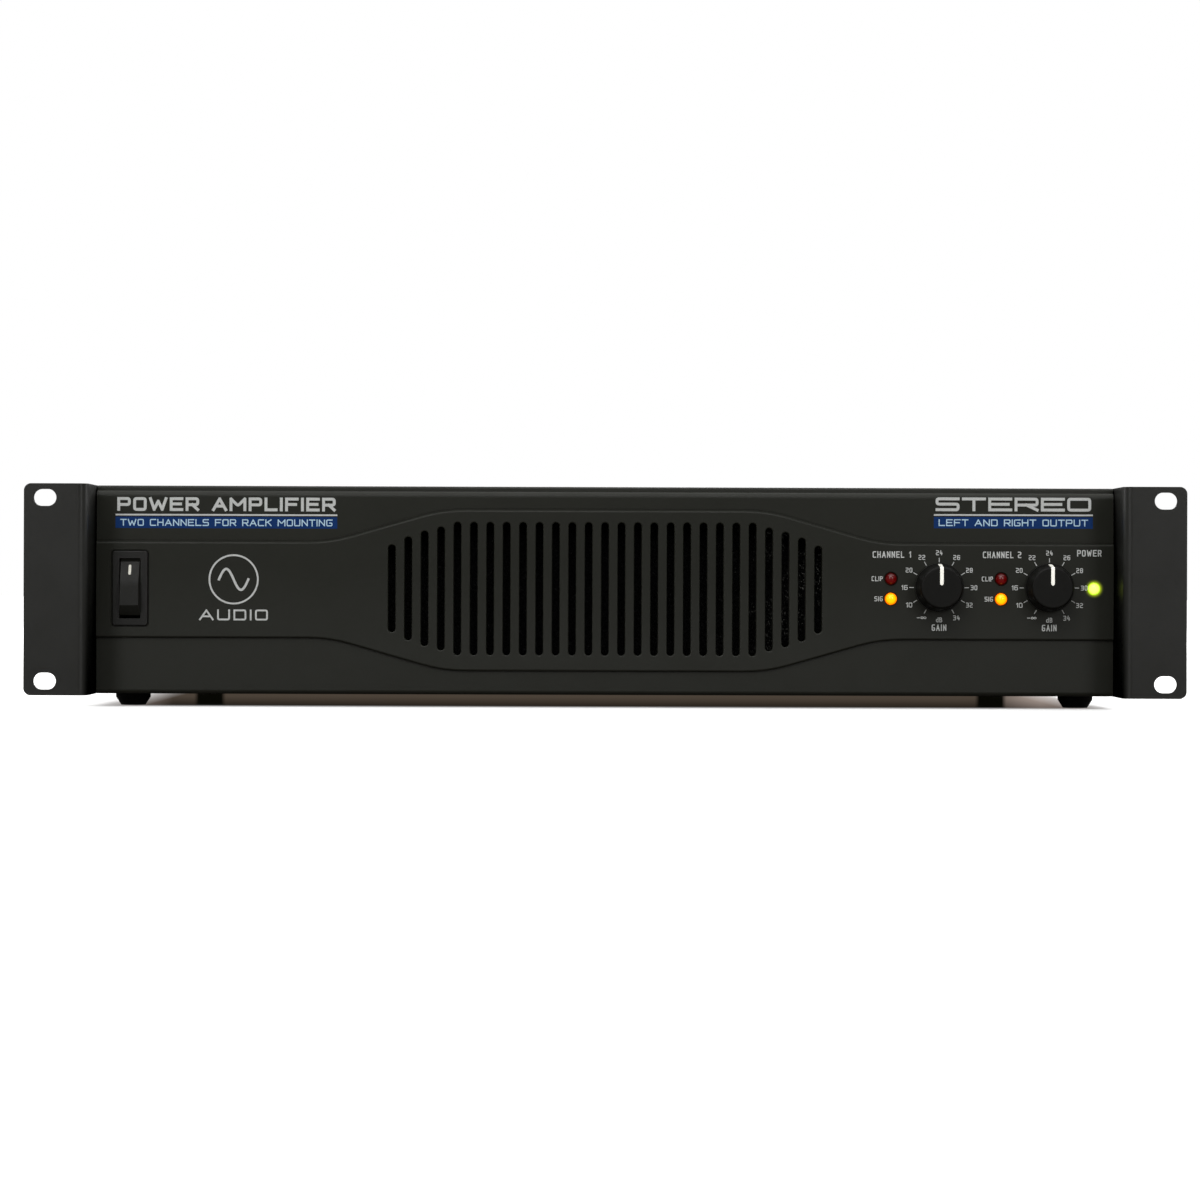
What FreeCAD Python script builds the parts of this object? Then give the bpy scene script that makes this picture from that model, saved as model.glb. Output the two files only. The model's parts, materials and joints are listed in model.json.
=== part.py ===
import FreeCAD, Part
import math
import os

from FreeCAD import Vector

# A two-channel power amplifier for a 19 inch rack, two units high, as separate pieces.
# Units are millimetres. X runs to the right seen from the front, Y runs from the front to the rear, Z is up.
# The origin is the centre of the four rack slots, on the rear face of the rack ears, where they meet the rails.

# Rack format: 19 inch wide, two units high
RACK_WIDTH = 482.6
RACK_HEIGHT = 88.0
SLOT_SPAN_X = 465.1
SLOT_SPAN_Z = 76.2
SLOT_LENGTH = 9.5
SLOT_WIDTH = 7.0
EAR_SHEET = 2.0
EAR_BEND = 3.7
EAR_CORNER = 3.0
EAR_REACH = 95.0
EAR_SCREW_Y = (45.0, 80.0)
EAR_SCREW_Z = (-28.0, 28.0)

# Case
HALF_BODY = 215.0
HALF_HEIGHT = RACK_HEIGHT / 2
REAR_FACE = 400.0
SHEET = 1.5
COVER_SHEET = 1.2
FLANGE = 12.0
FRONT_WALL = 29.2
COVER_LIP = 6.0
COVER_HEAD = 2.6
COVER_SHANK = 1.5
TRAY_TOP = HALF_HEIGHT - COVER_SHEET
TRAY_FLOOR = -HALF_HEIGHT + SHEET
FLANGE_UNDER = TRAY_TOP - SHEET
WALL_INSIDE = HALF_BODY - SHEET
REAR_INSIDE = REAR_FACE - SHEET

# Front fascia and its raised band
FASCIA_FACE = 25.0
FASCIA_HALF_WIDTH = 214.6
FASCIA_TOP = 41.9
FASCIA_BOTTOM = -43.9
FASCIA_TOP_ROUND = 2.6
FASCIA_LOW_ROUND = 1.8
BAND_PROUD = 1.2
BAND_FACE = FASCIA_FACE - BAND_PROUD
BAND_END_HALF = 20.3
BAND_CREST_HALF = 34.0
BAND_CREST_X = 59.0
BAND_SLOPE = math.radians(16.0)
BAND_RADIUS = 66.0
BAND_EDGE = 0.9
GROOVE_WIDTH = 0.8
GROOVE_DEPTH = 0.2

# Vent slots: 27 in a row, the four at each end getting shorter towards the outside
VENT_PITCH = 6.92
VENT_WIDTH = 3.05
VENT_HALF_LENGTH = 28.05
VENT_SHORT_HALVES = (26.0, 24.25, 21.8, 18.4)
VENT_FULL_EACH_SIDE = 9
VENT_Z = 0.75
VENT_ROUND = 0.45

# Power switch
SWITCH_X = -200.4
SWITCH_Z = 0.5
BEZEL_W = 15.0
BEZEL_H = 31.5
BEZEL_FACE = 23.7
BEZEL_GAP = 0.6
POCKET_DEPTH = 1.2
SWITCH_BODY_W = 12.4
SWITCH_BODY_H = 27.8
SWITCH_BODY_END = 52.0
ROCKER_CAVITY_W = 9.0
ROCKER_CAVITY_H = 25.4
ROCKER_W = 8.5
ROCKER_PIVOT_Y = 30.0
ROCKER_REACH = 12.45
ROCKER_HALF_FACE = 9.5
ROCKER_CROWN = 1.3
ROCKER_TILT = 15.0
ROCKER_BACK = 2.0
ROCKER_CREST_R = 12.0
ROCKER_TAPER = 0.8
ROCKER_PIN_R = 1.2

# Gain controls and indicators
GAIN_X = (141.0, 187.5)
GAIN_Z = 1.9
KNOB_BASE_R = 10.2
KNOB_FACE_R = 8.75
KNOB_FRONT = 12.0
KNOB_BACK = 23.3
KNOB_RIBS = 40
SHAFT_R = 3.0
SHAFT_PLAY = 0.06
SHAFT_END = 41.0
LED_R = 2.5
LED_TIP = 21.6
LED_BASE = 32.0
LED_OFFSET_X = -20.3
CLIP_LED_Z = 5.6
SIGNAL_LED_Z = -2.9
POWER_LED = (206.4, 1.6)
BOARD = 1.6
CONTROL_BOARD_Y = 47.0

# Feet
FOOT_X = 202.0
FOOT_Y = (50.0, 365.0)
FOOT_DROP = 5.4
FOOT_R = 7.4
FLOOR = -HALF_HEIGHT - FOOT_DROP

# Rear panel sockets
INPUT_X = (150.0, 188.0)
UPPER_ROW_Z = 20.0
LOWER_ROW_Z = -21.0
SOCKET_W = 26.0
SOCKET_H = 31.0
SOCKET_HOLE_R = 12.0
SOCKET_SCREW = (9.5, 12.0)
SPEAKER_X = (46.0, 82.0)
POST_SPACING = 19.05
POST_STUD_R = 2.9
POST_BORE_R = 2.05
POST_CAP = (404.0, 419.0)
JACK_BORE_R = 3.25
DIP_X = 114.0
DIP_Z = 20.0
DIP_WAYS = 4
DIP_PITCH = 2.54
DIP_TRAVEL = 1.6
BREAKER_X = -120.0
BREAKER_Z = 20.0
CORD_X = -173.0
CORD_Z = -14.0
CORD_R = 4.2

# Fan, 80 mm square
FAN_X = -10.0
FAN_SIDE = 80.0
FAN_DEPTH = 25.0
FAN_BORE_R = 38.6
FAN_HOLE_OFFSET = 35.75
FAN_BLADES = 7

# Inside
TORUS_X = -136.0
TORUS_Y = 122.0
TORUS_R = 68.0
TORUS_HOLE_R = 22.0
TORUS_HEIGHT = 60.0
SINK_Y = (66.0, 262.0)
SINK_FIN_LENGTH = 30.0
SINK_BASE = 6.0
BOARD_Z = -34.0

PARTS = {}


def part(function):
    """Registers a function whose result is one named piece, or a dict of named pieces."""
    PARTS[function.__name__] = function
    return function


# Small shape helpers


def box(x, y, z):
    """A block between pairs of limits."""
    return Part.makeBox(x[1] - x[0], y[1] - y[0], z[1] - z[0], Vector(x[0], y[0], z[0]))


def rod_y(x, z, y, radius):
    """A round rod along Y between two limits."""
    return Part.makeCylinder(radius, y[1] - y[0], Vector(x, y[0], z), Vector(0, 1, 0))


def rod_z(x, y, z, radius):
    return Part.makeCylinder(radius, z[1] - z[0], Vector(x, y, z[0]), Vector(0, 0, 1))


def rod_x(y, z, x, radius):
    return Part.makeCylinder(radius, x[1] - x[0], Vector(x[0], y, z), Vector(1, 0, 0))


def tube_y(x, z, y, outer, inner):
    return rod_y(x, z, y, outer).cut(rod_y(x, z, (y[0] - 1, y[1] + 1), inner))


def cone_y(x, z, y, r_start, r_end):
    return Part.makeCone(r_start, r_end, y[1] - y[0], Vector(x, y[0], z), Vector(0, 1, 0))


def fuse(shapes):
    shapes = list(shapes)
    return shapes[0].multiFuse(shapes[1:]).removeSplitter() if len(shapes) > 1 else shapes[0]


def cut(shape, tools):
    tools = list(tools)
    return shape.cut(Part.makeCompound(tools)) if tools else shape


def group(shapes):
    return Part.makeCompound(list(shapes))


def polygon(points):
    return Part.Face(Part.makePolygon([*points, points[0]]))


def rounded_wire(x, z, width, height, radius, y):
    """A rectangle with round corners, facing the front at depth y."""
    w, h, r = width / 2, height / 2, radius
    turn = r * (1 - math.sqrt(0.5))
    edges = []
    for sx, sz in ((1, 1), (1, -1), (-1, -1), (-1, 1)):
        a = Vector(x + sx * (w - r), y, z + sz * h)
        middle = Vector(x + sx * (w - turn), y, z + sz * (h - turn))
        b = Vector(x + sx * w, y, z + sz * (h - r))
        edges.append(Part.Arc(a, middle, b).toShape())
    corners = [(e.Vertexes[0].Point, e.Vertexes[-1].Point) for e in edges]
    for (_, b0), (_, b1) in ((corners[0], corners[1]), (corners[2], corners[3])):
        if b0.distanceToPoint(b1) > 1e-6:
            edges.append(Part.makeLine(b0, b1))
    for (a0, _), (a1, _) in ((corners[1], corners[2]), (corners[3], corners[0])):
        if a0.distanceToPoint(a1) > 1e-6:
            edges.append(Part.makeLine(a0, a1))
    return Part.Wire(Part.__sortEdges__(edges))


def slot_wire(x, z, width, height, y):
    """A slot with round ends, upright or lying down, facing the front at depth y."""
    r = min(width, height) / 2
    lying = width > height
    run = abs(width - height) / 2
    along, across = (Vector(1, 0, 0), Vector(0, 0, 1)) if lying else (Vector(0, 0, 1), Vector(1, 0, 0))
    centre = Vector(x, y, z)
    ends = []
    for s in (1, -1):
        tip = centre + along * (s * run)
        ends.append((tip - across * r, tip + along * (s * r), tip + across * r))
    edges = [Part.Arc(*end).toShape() for end in ends]
    edges.append(Part.makeLine(ends[0][0], ends[1][0]))
    edges.append(Part.makeLine(ends[0][2], ends[1][2]))
    return Part.Wire(Part.__sortEdges__(edges))


def slot(x, z, width, height, y):
    """A round-ended slot cutter between two depths."""
    return Part.Face(slot_wire(x, z, width, height, y[0])).extrude(Vector(0, y[1] - y[0], 0))


def plate(x, z, width, height, radius, y):
    """A rounded plate or hole between two depths."""
    wire = rounded_wire(x, z, width, height, radius, y[0])
    return Part.Face(wire).extrude(Vector(0, y[1] - y[0], 0))


def soften(shape, radius, chosen):
    """Rounds the edges for which chosen(edge) is true."""
    edges = [e for e in shape.Edges if chosen(e)]
    return shape.makeFillet(radius, edges) if edges else shape


def on_plane(edge, axis, value):
    """True if every point of an edge lies on a plane square to an axis."""
    low, high = {
        "x": (edge.BoundBox.XMin, edge.BoundBox.XMax),
        "y": (edge.BoundBox.YMin, edge.BoundBox.YMax),
        "z": (edge.BoundBox.ZMin, edge.BoundBox.ZMax),
    }[axis]
    return abs(low - value) < 1e-3 and abs(high - value) < 1e-3


def turned(shape, centre, axis, degrees):
    copy = shape.copy()
    copy.rotate(centre, axis, degrees)
    return copy


def pan_screw(point, direction, head_r, head_h, shank_r, shank_l):
    """A cross-head screw. Its head sits on point and points along direction; its shank goes the other way."""
    up = Vector(0, 0, 1)
    head = Part.makeCylinder(head_r, head_h, Vector(0, 0, 0), up)
    head = soften(head, head_h * 0.45, lambda e: on_plane(e, "z", head_h))
    arm, deep = head_r * 0.62, head_h * 0.55
    cross = [
        box((-arm, arm), (-head_r * 0.14, head_r * 0.14), (head_h - deep, head_h + 1)),
        box((-head_r * 0.14, head_r * 0.14), (-arm, arm), (head_h - deep, head_h + 1)),
    ]
    shank = Part.makeCylinder(shank_r, shank_l, Vector(0, 0, -shank_l), up)
    screw = cut(fuse([head, shank]), cross)
    screw.Placement = FreeCAD.Placement(Vector(*point), FreeCAD.Rotation(up, Vector(*direction)))
    return screw


def flush_screw(x, y, top, head_r, shank_r, shank_l):
    """A cross-head screw whose conical head lies flush in a horizontal sheet."""
    head_h = head_r - shank_r
    head = Part.makeCone(shank_r, head_r, head_h, Vector(x, y, top - head_h))
    arm, deep = head_r * 0.62, head_h * 0.6
    cross = [
        box((x - w, x + w), (y - d, y + d), (top - deep, top + 1))
        for w, d in ((arm, head_r * 0.14), (head_r * 0.14, arm))
    ]
    return cut(fuse([head, rod_z(x, y, (top - shank_l, top - head_h), shank_r)]), cross)


def hex_nut(x, z, y, across_flats, bore_r):
    r = across_flats / math.sqrt(3)
    points = [
        Vector(x + r * math.cos(math.radians(60 * k)), y[0], z + r * math.sin(math.radians(60 * k)))
        for k in range(6)
    ]
    nut = polygon(points).extrude(Vector(0, y[1] - y[0], 0))
    return nut.cut(rod_y(x, z, (y[0] - 1, y[1] + 1), bore_r))


# Positions shared by several pieces


def gain_centres():
    return [(x, GAIN_Z) for x in GAIN_X]


def led_centres():
    found = [(x + LED_OFFSET_X, z) for z in (CLIP_LED_Z, SIGNAL_LED_Z) for x in GAIN_X]
    return [*found, POWER_LED]


def post_centres():
    """Red post then black post of each channel."""
    return [(x + s * POST_SPACING / 2, LOWER_ROW_Z) for x in SPEAKER_X for s in (-1, 1)]


def cover_screw_places():
    sides = [(s * (HALF_BODY - 7.5), y) for s in (-1, 1) for y in (62.0, 170.0, 278.0, 372.0)]
    front = [(x, FRONT_WALL + 8.0) for x in (-120.0, 0.0, 120.0)]
    rear = [(x, REAR_FACE - 8.0) for x in (-150.0, -75.0, 75.0, 150.0)]
    return sides + front + rear


def fan_corners():
    d = FAN_HOLE_OFFSET
    return [(FAN_X + sx * d, sz * d) for sx in (-1, 1) for sz in (-1, 1)]


def socket_screws(x, z):
    dx, dz = SOCKET_SCREW
    return [(x - dx, z + dz), (x + dx, z - dz)]


# Case


def vent_places():
    """The X position and half length of each vent slot."""
    halves = [VENT_HALF_LENGTH] * (VENT_FULL_EACH_SIDE + 1) + list(VENT_SHORT_HALVES)
    last = len(halves) - 1
    return [(k * VENT_PITCH, halves[abs(k)]) for k in range(-last, last + 1)]


def cut_vents(solid):
    """Cuts the vent slots through the band and rounds their mouths."""
    y = (BAND_FACE - 1, FRONT_WALL + 1)
    solid = cut(solid, [slot(x, VENT_Z, VENT_WIDTH, 2 * half, y) for x, half in vent_places()])
    reach = vent_places()[-1][0] + VENT_PITCH / 2

    def mouth(edge):
        box_of = edge.BoundBox
        inside = abs(edge.CenterOfMass.x) < reach and abs(edge.CenterOfMass.z) < VENT_HALF_LENGTH + 2
        return on_plane(edge, "y", BAND_FACE) and inside and box_of.XLength < VENT_PITCH

    return soften(solid, VENT_ROUND, mouth)


def band_quarter(sx, sz):
    """The edges of one quarter of the band's outline, from its end to its crest."""
    r, t = BAND_RADIUS, BAND_SLOPE
    rise = BAND_CREST_HALF - BAND_END_HALF
    straight = (rise - 2 * r * (1 - math.cos(t))) / math.tan(t)
    end_x = BAND_CREST_X + 2 * r * math.sin(t) + straight

    def at(x, z):
        return Vector(sx * x, BAND_FACE, sz * z)

    def low(a):
        return at(end_x - r * math.sin(a), BAND_END_HALF + r * (1 - math.cos(a)))

    def high(a):
        return at(BAND_CREST_X + r * math.sin(a), BAND_CREST_HALF - r * (1 - math.cos(a)))

    return [
        Part.makeLine(at(FASCIA_HALF_WIDTH, BAND_END_HALF), low(0)),
        Part.Arc(low(0), low(t / 2), low(t)).toShape(),
        Part.makeLine(low(t), high(t)),
        Part.Arc(high(t), high(t / 2), high(0)).toShape(),
        Part.makeLine(high(0), at(0, BAND_CREST_HALF)),
    ]


def band_outline():
    edges = [e for sx in (-1, 1) for sz in (-1, 1) for e in band_quarter(sx, sz)]
    for sx in (-1, 1):
        ends = [Vector(sx * FASCIA_HALF_WIDTH, BAND_FACE, sz * BAND_END_HALF) for sz in (-1, 1)]
        edges.append(Part.makeLine(*ends))
    return Part.Wire(Part.__sortEdges__(edges))


def band():
    """The raised band across the fascia, which swells round the vents."""
    solid = Part.Face(band_outline()).extrude(Vector(0, BAND_PROUD + 1, 0))

    def long_edge(edge):
        at_end = on_plane(edge, "x", math.copysign(FASCIA_HALF_WIDTH, edge.CenterOfMass.x))
        return on_plane(edge, "y", BAND_FACE) and not at_end

    return soften(solid, BAND_EDGE, long_edge)


def band_groove():
    """The shadow line round the foot of the band."""
    inner = band_outline()
    inner.translate(Vector(0, BAND_PROUD - 0.2, 0))
    outer = inner.makeOffset2D(GROOVE_WIDTH)
    depth = Vector(0, GROOVE_DEPTH + 0.2, 0)
    return Part.Face(outer).extrude(depth).cut(Part.Face(inner).extrude(depth))


def fascia_profile():
    """Side view of the fascia: its top edge rolls back further than its bottom edge."""
    face, back, x = FASCIA_FACE, FRONT_WALL, -FASCIA_HALF_WIDTH
    top, bottom = FASCIA_TOP, FASCIA_BOTTOM
    top_r, low_r = FASCIA_TOP_ROUND, FASCIA_LOW_ROUND
    away = 1 - math.sqrt(0.5)

    def at(y, z):
        return Vector(x, y, z)

    low_mid = at(face + low_r * away, bottom + low_r * away)
    top_mid = at(face + top_r * away, top - top_r * away)
    return Part.Wire([
        Part.makeLine(at(back, bottom), at(face + low_r, bottom)),
        Part.Arc(at(face + low_r, bottom), low_mid, at(face, bottom + low_r)).toShape(),
        Part.makeLine(at(face, bottom + low_r), at(face, top - top_r)),
        Part.Arc(at(face, top - top_r), top_mid, at(face + top_r, top)).toShape(),
        Part.makeLine(at(face + top_r, top), at(back, top)),
        Part.makeLine(at(back, top), at(back, bottom)),
    ])


@part
def front_fascia():
    """The front plate with its raised band, vents and openings for the controls."""
    solid = Part.Face(fascia_profile()).extrude(Vector(2 * FASCIA_HALF_WIDTH, 0, 0))
    solid = cut_vents(fuse([solid.cut(band_groove()), band()]))
    full = (BAND_FACE - 1, FRONT_WALL + 1)
    cover_room = box((-220, 220), (FRONT_WALL - COVER_SHEET, FRONT_WALL + 1), (TRAY_TOP - COVER_LIP, 60))
    pocket = plate(
        SWITCH_X,
        SWITCH_Z,
        BEZEL_W + 2 * BEZEL_GAP,
        BEZEL_H + 2 * BEZEL_GAP,
        1.6,
        (BAND_FACE - 1, BAND_FACE + POCKET_DEPTH),
    )
    tools = [cover_room, pocket]
    tools.append(plate(SWITCH_X, SWITCH_Z, SWITCH_BODY_W + 0.2, SWITCH_BODY_H + 0.2, 0.5, full))
    for x, z in gain_centres():
        tools.append(rod_y(x, z, full, 7.4))
    for x, z in led_centres():
        tools.append(rod_y(x, z, full, LED_R + 0.1))
        tools.append(cone_y(x, z, (BAND_FACE - 0.01, BAND_FACE + 0.4), LED_R + 0.5, LED_R + 0.1))
    return cut(solid, tools)


@part
def chassis_tray():
    """Bottom, side walls and front wall of folded steel, with inward flanges for the cover and rear panel."""
    inner = (-WALL_INSIDE, WALL_INSIDE)
    pieces = [
        box((-HALF_BODY, HALF_BODY), (FRONT_WALL, REAR_FACE), (-HALF_HEIGHT, TRAY_FLOOR)),
        box(inner, (FRONT_WALL, FRONT_WALL + SHEET), (-HALF_HEIGHT, TRAY_TOP)),
        box(inner, (FRONT_WALL, FRONT_WALL + FLANGE), (FLANGE_UNDER, TRAY_TOP)),
    ]
    for s in (-1, 1):
        wall = sorted((s * WALL_INSIDE, s * HALF_BODY))
        flange = sorted((s * WALL_INSIDE, s * (WALL_INSIDE - FLANGE)))
        pieces.append(box(wall, (FRONT_WALL, REAR_FACE), (-HALF_HEIGHT, TRAY_TOP)))
        pieces.append(box(flange, (FRONT_WALL, REAR_INSIDE), (FLANGE_UNDER, TRAY_TOP)))
        pieces.append(box(flange, (REAR_INSIDE - SHEET, REAR_INSIDE), (TRAY_FLOOR, TRAY_TOP)))
    tray = fuse(pieces)
    tray = soften(
        tray,
        1.4,
        lambda e: on_plane(e, "z", -HALF_HEIGHT) and abs(abs(e.CenterOfMass.x) - HALF_BODY) < 1e-3,
    )
    front = (FRONT_WALL - 1, FRONT_WALL + SHEET + 1)
    vent_half = (VENT_FULL_EACH_SIDE + 4.5) * VENT_PITCH
    tools = [plate(0, VENT_Z, 2 * vent_half, 2 * VENT_HALF_LENGTH + 4, 3, front)]
    tools.append(plate(SWITCH_X, SWITCH_Z, SWITCH_BODY_W + 0.2, SWITCH_BODY_H + 0.2, 0.5, front))
    tools += [rod_y(x, z, front, 4.6) for x, z in gain_centres()]
    tools += [rod_y(x, z, front, 3.3) for x, z in led_centres()]
    for x, y in cover_screw_places():
        if y < REAR_FACE - FLANGE:
            tools.append(rod_z(x, y, (FLANGE_UNDER - 1, TRAY_TOP + 1), 1.55))
    for s in (-1, 1):
        out = sorted((s * (WALL_INSIDE - 1), s * (HALF_BODY + 1)))
        tools += [rod_x(y, z, out, 2.05) for y in EAR_SCREW_Y for z in EAR_SCREW_Z]
        tools += [rod_y(s * (HALF_BODY - 7.5), z, (REAR_INSIDE - 3, REAR_FACE), 1.55) for z in (-33.0, 33.0)]
        tools += [rod_z(s * FOOT_X, y, (-HALF_HEIGHT - 1, TRAY_FLOOR + 1), 1.6) for y in FOOT_Y]
    tools.append(rod_z(TORUS_X, TORUS_Y, (-HALF_HEIGHT - 1, TRAY_FLOOR + 1), 4.1))
    return cut(tray, tools)


@part
def top_cover():
    """Flat steel cover with a folded lip that hooks over the front wall."""
    cover = fuse([
        box((-HALF_BODY, HALF_BODY), (FRONT_WALL - COVER_SHEET, REAR_FACE), (TRAY_TOP, HALF_HEIGHT)),
        box(
            (-FASCIA_HALF_WIDTH, FASCIA_HALF_WIDTH),
            (FRONT_WALL - COVER_SHEET, FRONT_WALL),
            (TRAY_TOP - COVER_LIP + 0.2, TRAY_TOP),
        ),
    ])
    cover = soften(cover, 0.9, lambda e: on_plane(e, "z", HALF_HEIGHT))
    holes = []
    for x, y in cover_screw_places():
        holes.append(rod_z(x, y, (TRAY_TOP - 1, HALF_HEIGHT + 1), 1.7))
        holes.append(Part.makeCone(1.6, 3.0, 1.4, Vector(x, y, HALF_HEIGHT - 1.3)))
    return cut(cover, holes)


@part
def cover_screws():
    top = HALF_HEIGHT - 0.1
    return group(flush_screw(x, y, top, COVER_HEAD, COVER_SHANK, 7.0) for x, y in cover_screw_places())


@part
def rear_panel():
    """The rear wall, with a flange top and bottom and the openings for every socket."""
    half = WALL_INSIDE - FLANGE - 1.5
    wall = (REAR_INSIDE, REAR_FACE)
    panel = fuse([
        box((-WALL_INSIDE, WALL_INSIDE), wall, (TRAY_FLOOR, TRAY_TOP)),
        box((-half, half), (REAR_FACE - FLANGE, REAR_FACE), (FLANGE_UNDER, TRAY_TOP)),
        box((-half, half), (REAR_FACE - FLANGE, REAR_FACE), (TRAY_FLOOR, TRAY_FLOOR + SHEET)),
    ])
    through = (REAR_INSIDE - 1, REAR_FACE + 1)
    tools = [rod_y(FAN_X, 0, through, FAN_BORE_R)]
    tools += [rod_y(x, z, through, 2.1) for x, z in fan_corners()]
    for x in (*INPUT_X, *SPEAKER_X):
        tools.append(rod_y(x, UPPER_ROW_Z, through, SOCKET_HOLE_R))
        tools += [rod_y(sx, sz, through, 1.55) for sx, sz in socket_screws(x, UPPER_ROW_Z)]
    tools += [rod_y(x, LOWER_ROW_Z, through, 4.8) for x in INPUT_X]
    tools += [rod_y(x, z, through, 4.6) for x, z in post_centres()]
    tools.append(plate(DIP_X, DIP_Z, DIP_WAYS * DIP_PITCH + 2.4, 8.0, 0.6, through))
    tools.append(rod_y(BREAKER_X, BREAKER_Z, through, 5.3))
    tools.append(rod_y(CORD_X, CORD_Z, through, 7.6))
    for s in (-1, 1):
        tools += [rod_y(s * (HALF_BODY - 7.5), z, through, 1.7) for z in (-33.0, 33.0)]
    tools += [
        rod_z(x, y, (FLANGE_UNDER - 1, TRAY_TOP + 1), 1.55)
        for x, y in cover_screw_places()
        if y > REAR_FACE - FLANGE and abs(x) < half
    ]
    return cut(panel, tools)


@part
def rear_screws():
    """Screws of the rear panel, its sockets and the fan."""
    back = (0, 1, 0)
    screws = [
        pan_screw((s * (HALF_BODY - 7.5), REAR_FACE, z), back, 3.0, 1.8, 1.5, 6.0)
        for s in (-1, 1)
        for z in (-33.0, 33.0)
    ]
    for x in (*INPUT_X, *SPEAKER_X):
        screws += [
            pan_screw((sx, REAR_FACE + 2.2, sz), back, 2.6, 1.5, 1.5, 8.0)
            for sx, sz in socket_screws(x, UPPER_ROW_Z)
        ]
    screws += [pan_screw((x, REAR_FACE + 1.8, z), back, 3.8, 2.0, 2.0, 12.0) for x, z in fan_corners()]
    return group(screws)


def rack_ear(s):
    """An angle of folded steel: slotted flange at the front, leg along the side wall. s is -1 left, 1 right."""
    r_out, r_in = EAR_BEND, EAR_BEND - EAR_SHEET
    inner, front = HALF_BODY, -EAR_SHEET

    def at(x, y):
        return Vector(s * x, y, -HALF_HEIGHT)

    turn_out = r_out * (1 - math.sqrt(0.5))
    centre_x, centre_y = inner + r_out, front + r_out
    turn_in = r_in * math.sqrt(0.5)
    edges = [
        Part.makeLine(at(RACK_WIDTH / 2, 0), at(RACK_WIDTH / 2, front)),
        Part.makeLine(at(RACK_WIDTH / 2, front), at(centre_x, front)),
        Part.Arc(
            at(centre_x, front), at(inner + turn_out, front + turn_out), at(inner, centre_y)
        ).toShape(),
        Part.makeLine(at(inner, centre_y), at(inner, EAR_REACH)),
        Part.makeLine(at(inner, EAR_REACH), at(inner + EAR_SHEET, EAR_REACH)),
        Part.makeLine(at(inner + EAR_SHEET, EAR_REACH), at(inner + EAR_SHEET, centre_y)),
        Part.Arc(
            at(inner + EAR_SHEET, centre_y),
            at(centre_x - turn_in, centre_y - turn_in),
            at(centre_x, 0),
        ).toShape(),
        Part.makeLine(at(centre_x, 0), at(RACK_WIDTH / 2, 0)),
    ]
    ear = Part.Face(Part.Wire(edges)).extrude(Vector(0, 0, RACK_HEIGHT))
    ear = soften(
        ear,
        EAR_CORNER,
        lambda e: abs(abs(e.CenterOfMass.x) - RACK_WIDTH / 2) < 0.01
        and abs(abs(e.CenterOfMass.z) - HALF_HEIGHT) < 0.01
        and e.Length < 3,
    )
    ear = soften(
        ear,
        8.0,
        lambda e: abs(e.CenterOfMass.y - EAR_REACH) < 0.01
        and abs(abs(e.CenterOfMass.z) - HALF_HEIGHT) < 0.01
        and e.Length < 3,
    )
    tools = [
        slot(s * SLOT_SPAN_X / 2, sz * SLOT_SPAN_Z / 2, SLOT_LENGTH, SLOT_WIDTH, (-EAR_SHEET - 1, 1))
        for sz in (-1, 1)
    ]
    leg = sorted((s * (HALF_BODY - 1), s * (HALF_BODY + EAR_SHEET + 1)))
    tools += [rod_x(y, z, leg, 2.2) for y in EAR_SCREW_Y for z in EAR_SCREW_Z]
    return cut(ear, tools)


@part
def rack_ear_left():
    return rack_ear(-1)


@part
def rack_ear_right():
    return rack_ear(1)


@part
def ear_screws():
    return group(
        pan_screw((s * (HALF_BODY + EAR_SHEET), y, z), (s, 0, 0), 3.9, 2.2, 2.0, 8.0)
        for s in (-1, 1)
        for y in EAR_SCREW_Y
        for z in EAR_SCREW_Z
    )


@part
def rubber_feet():
    """Four bumpers, straight at the top and tapered below, each with a recess for its screw."""
    feet = []
    for s in (-1, 1):
        for y in FOOT_Y:
            point = Vector(s * FOOT_X, y, -HALF_HEIGHT)
            down = Vector(0, 0, -1)
            neck = Part.makeCylinder(FOOT_R, 2.0, point, down)
            taper = Part.makeCone(FOOT_R, 5.2, FOOT_DROP - 2.0, point + down * 2.0, down)
            foot = fuse([neck, taper])
            foot = foot.cut(Part.makeCylinder(3.2, 10, point + down * 2.4, down))
            feet.append(foot.cut(Part.makeCylinder(1.7, 10, point, down)))
    return group(feet)


@part
def foot_screws():
    return group(
        pan_screw((s * FOOT_X, y, -HALF_HEIGHT - 2.4), (0, 0, -1), 2.9, 1.8, 1.5, 8.0)
        for s in (-1, 1)
        for y in FOOT_Y
    )


# Front controls


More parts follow.
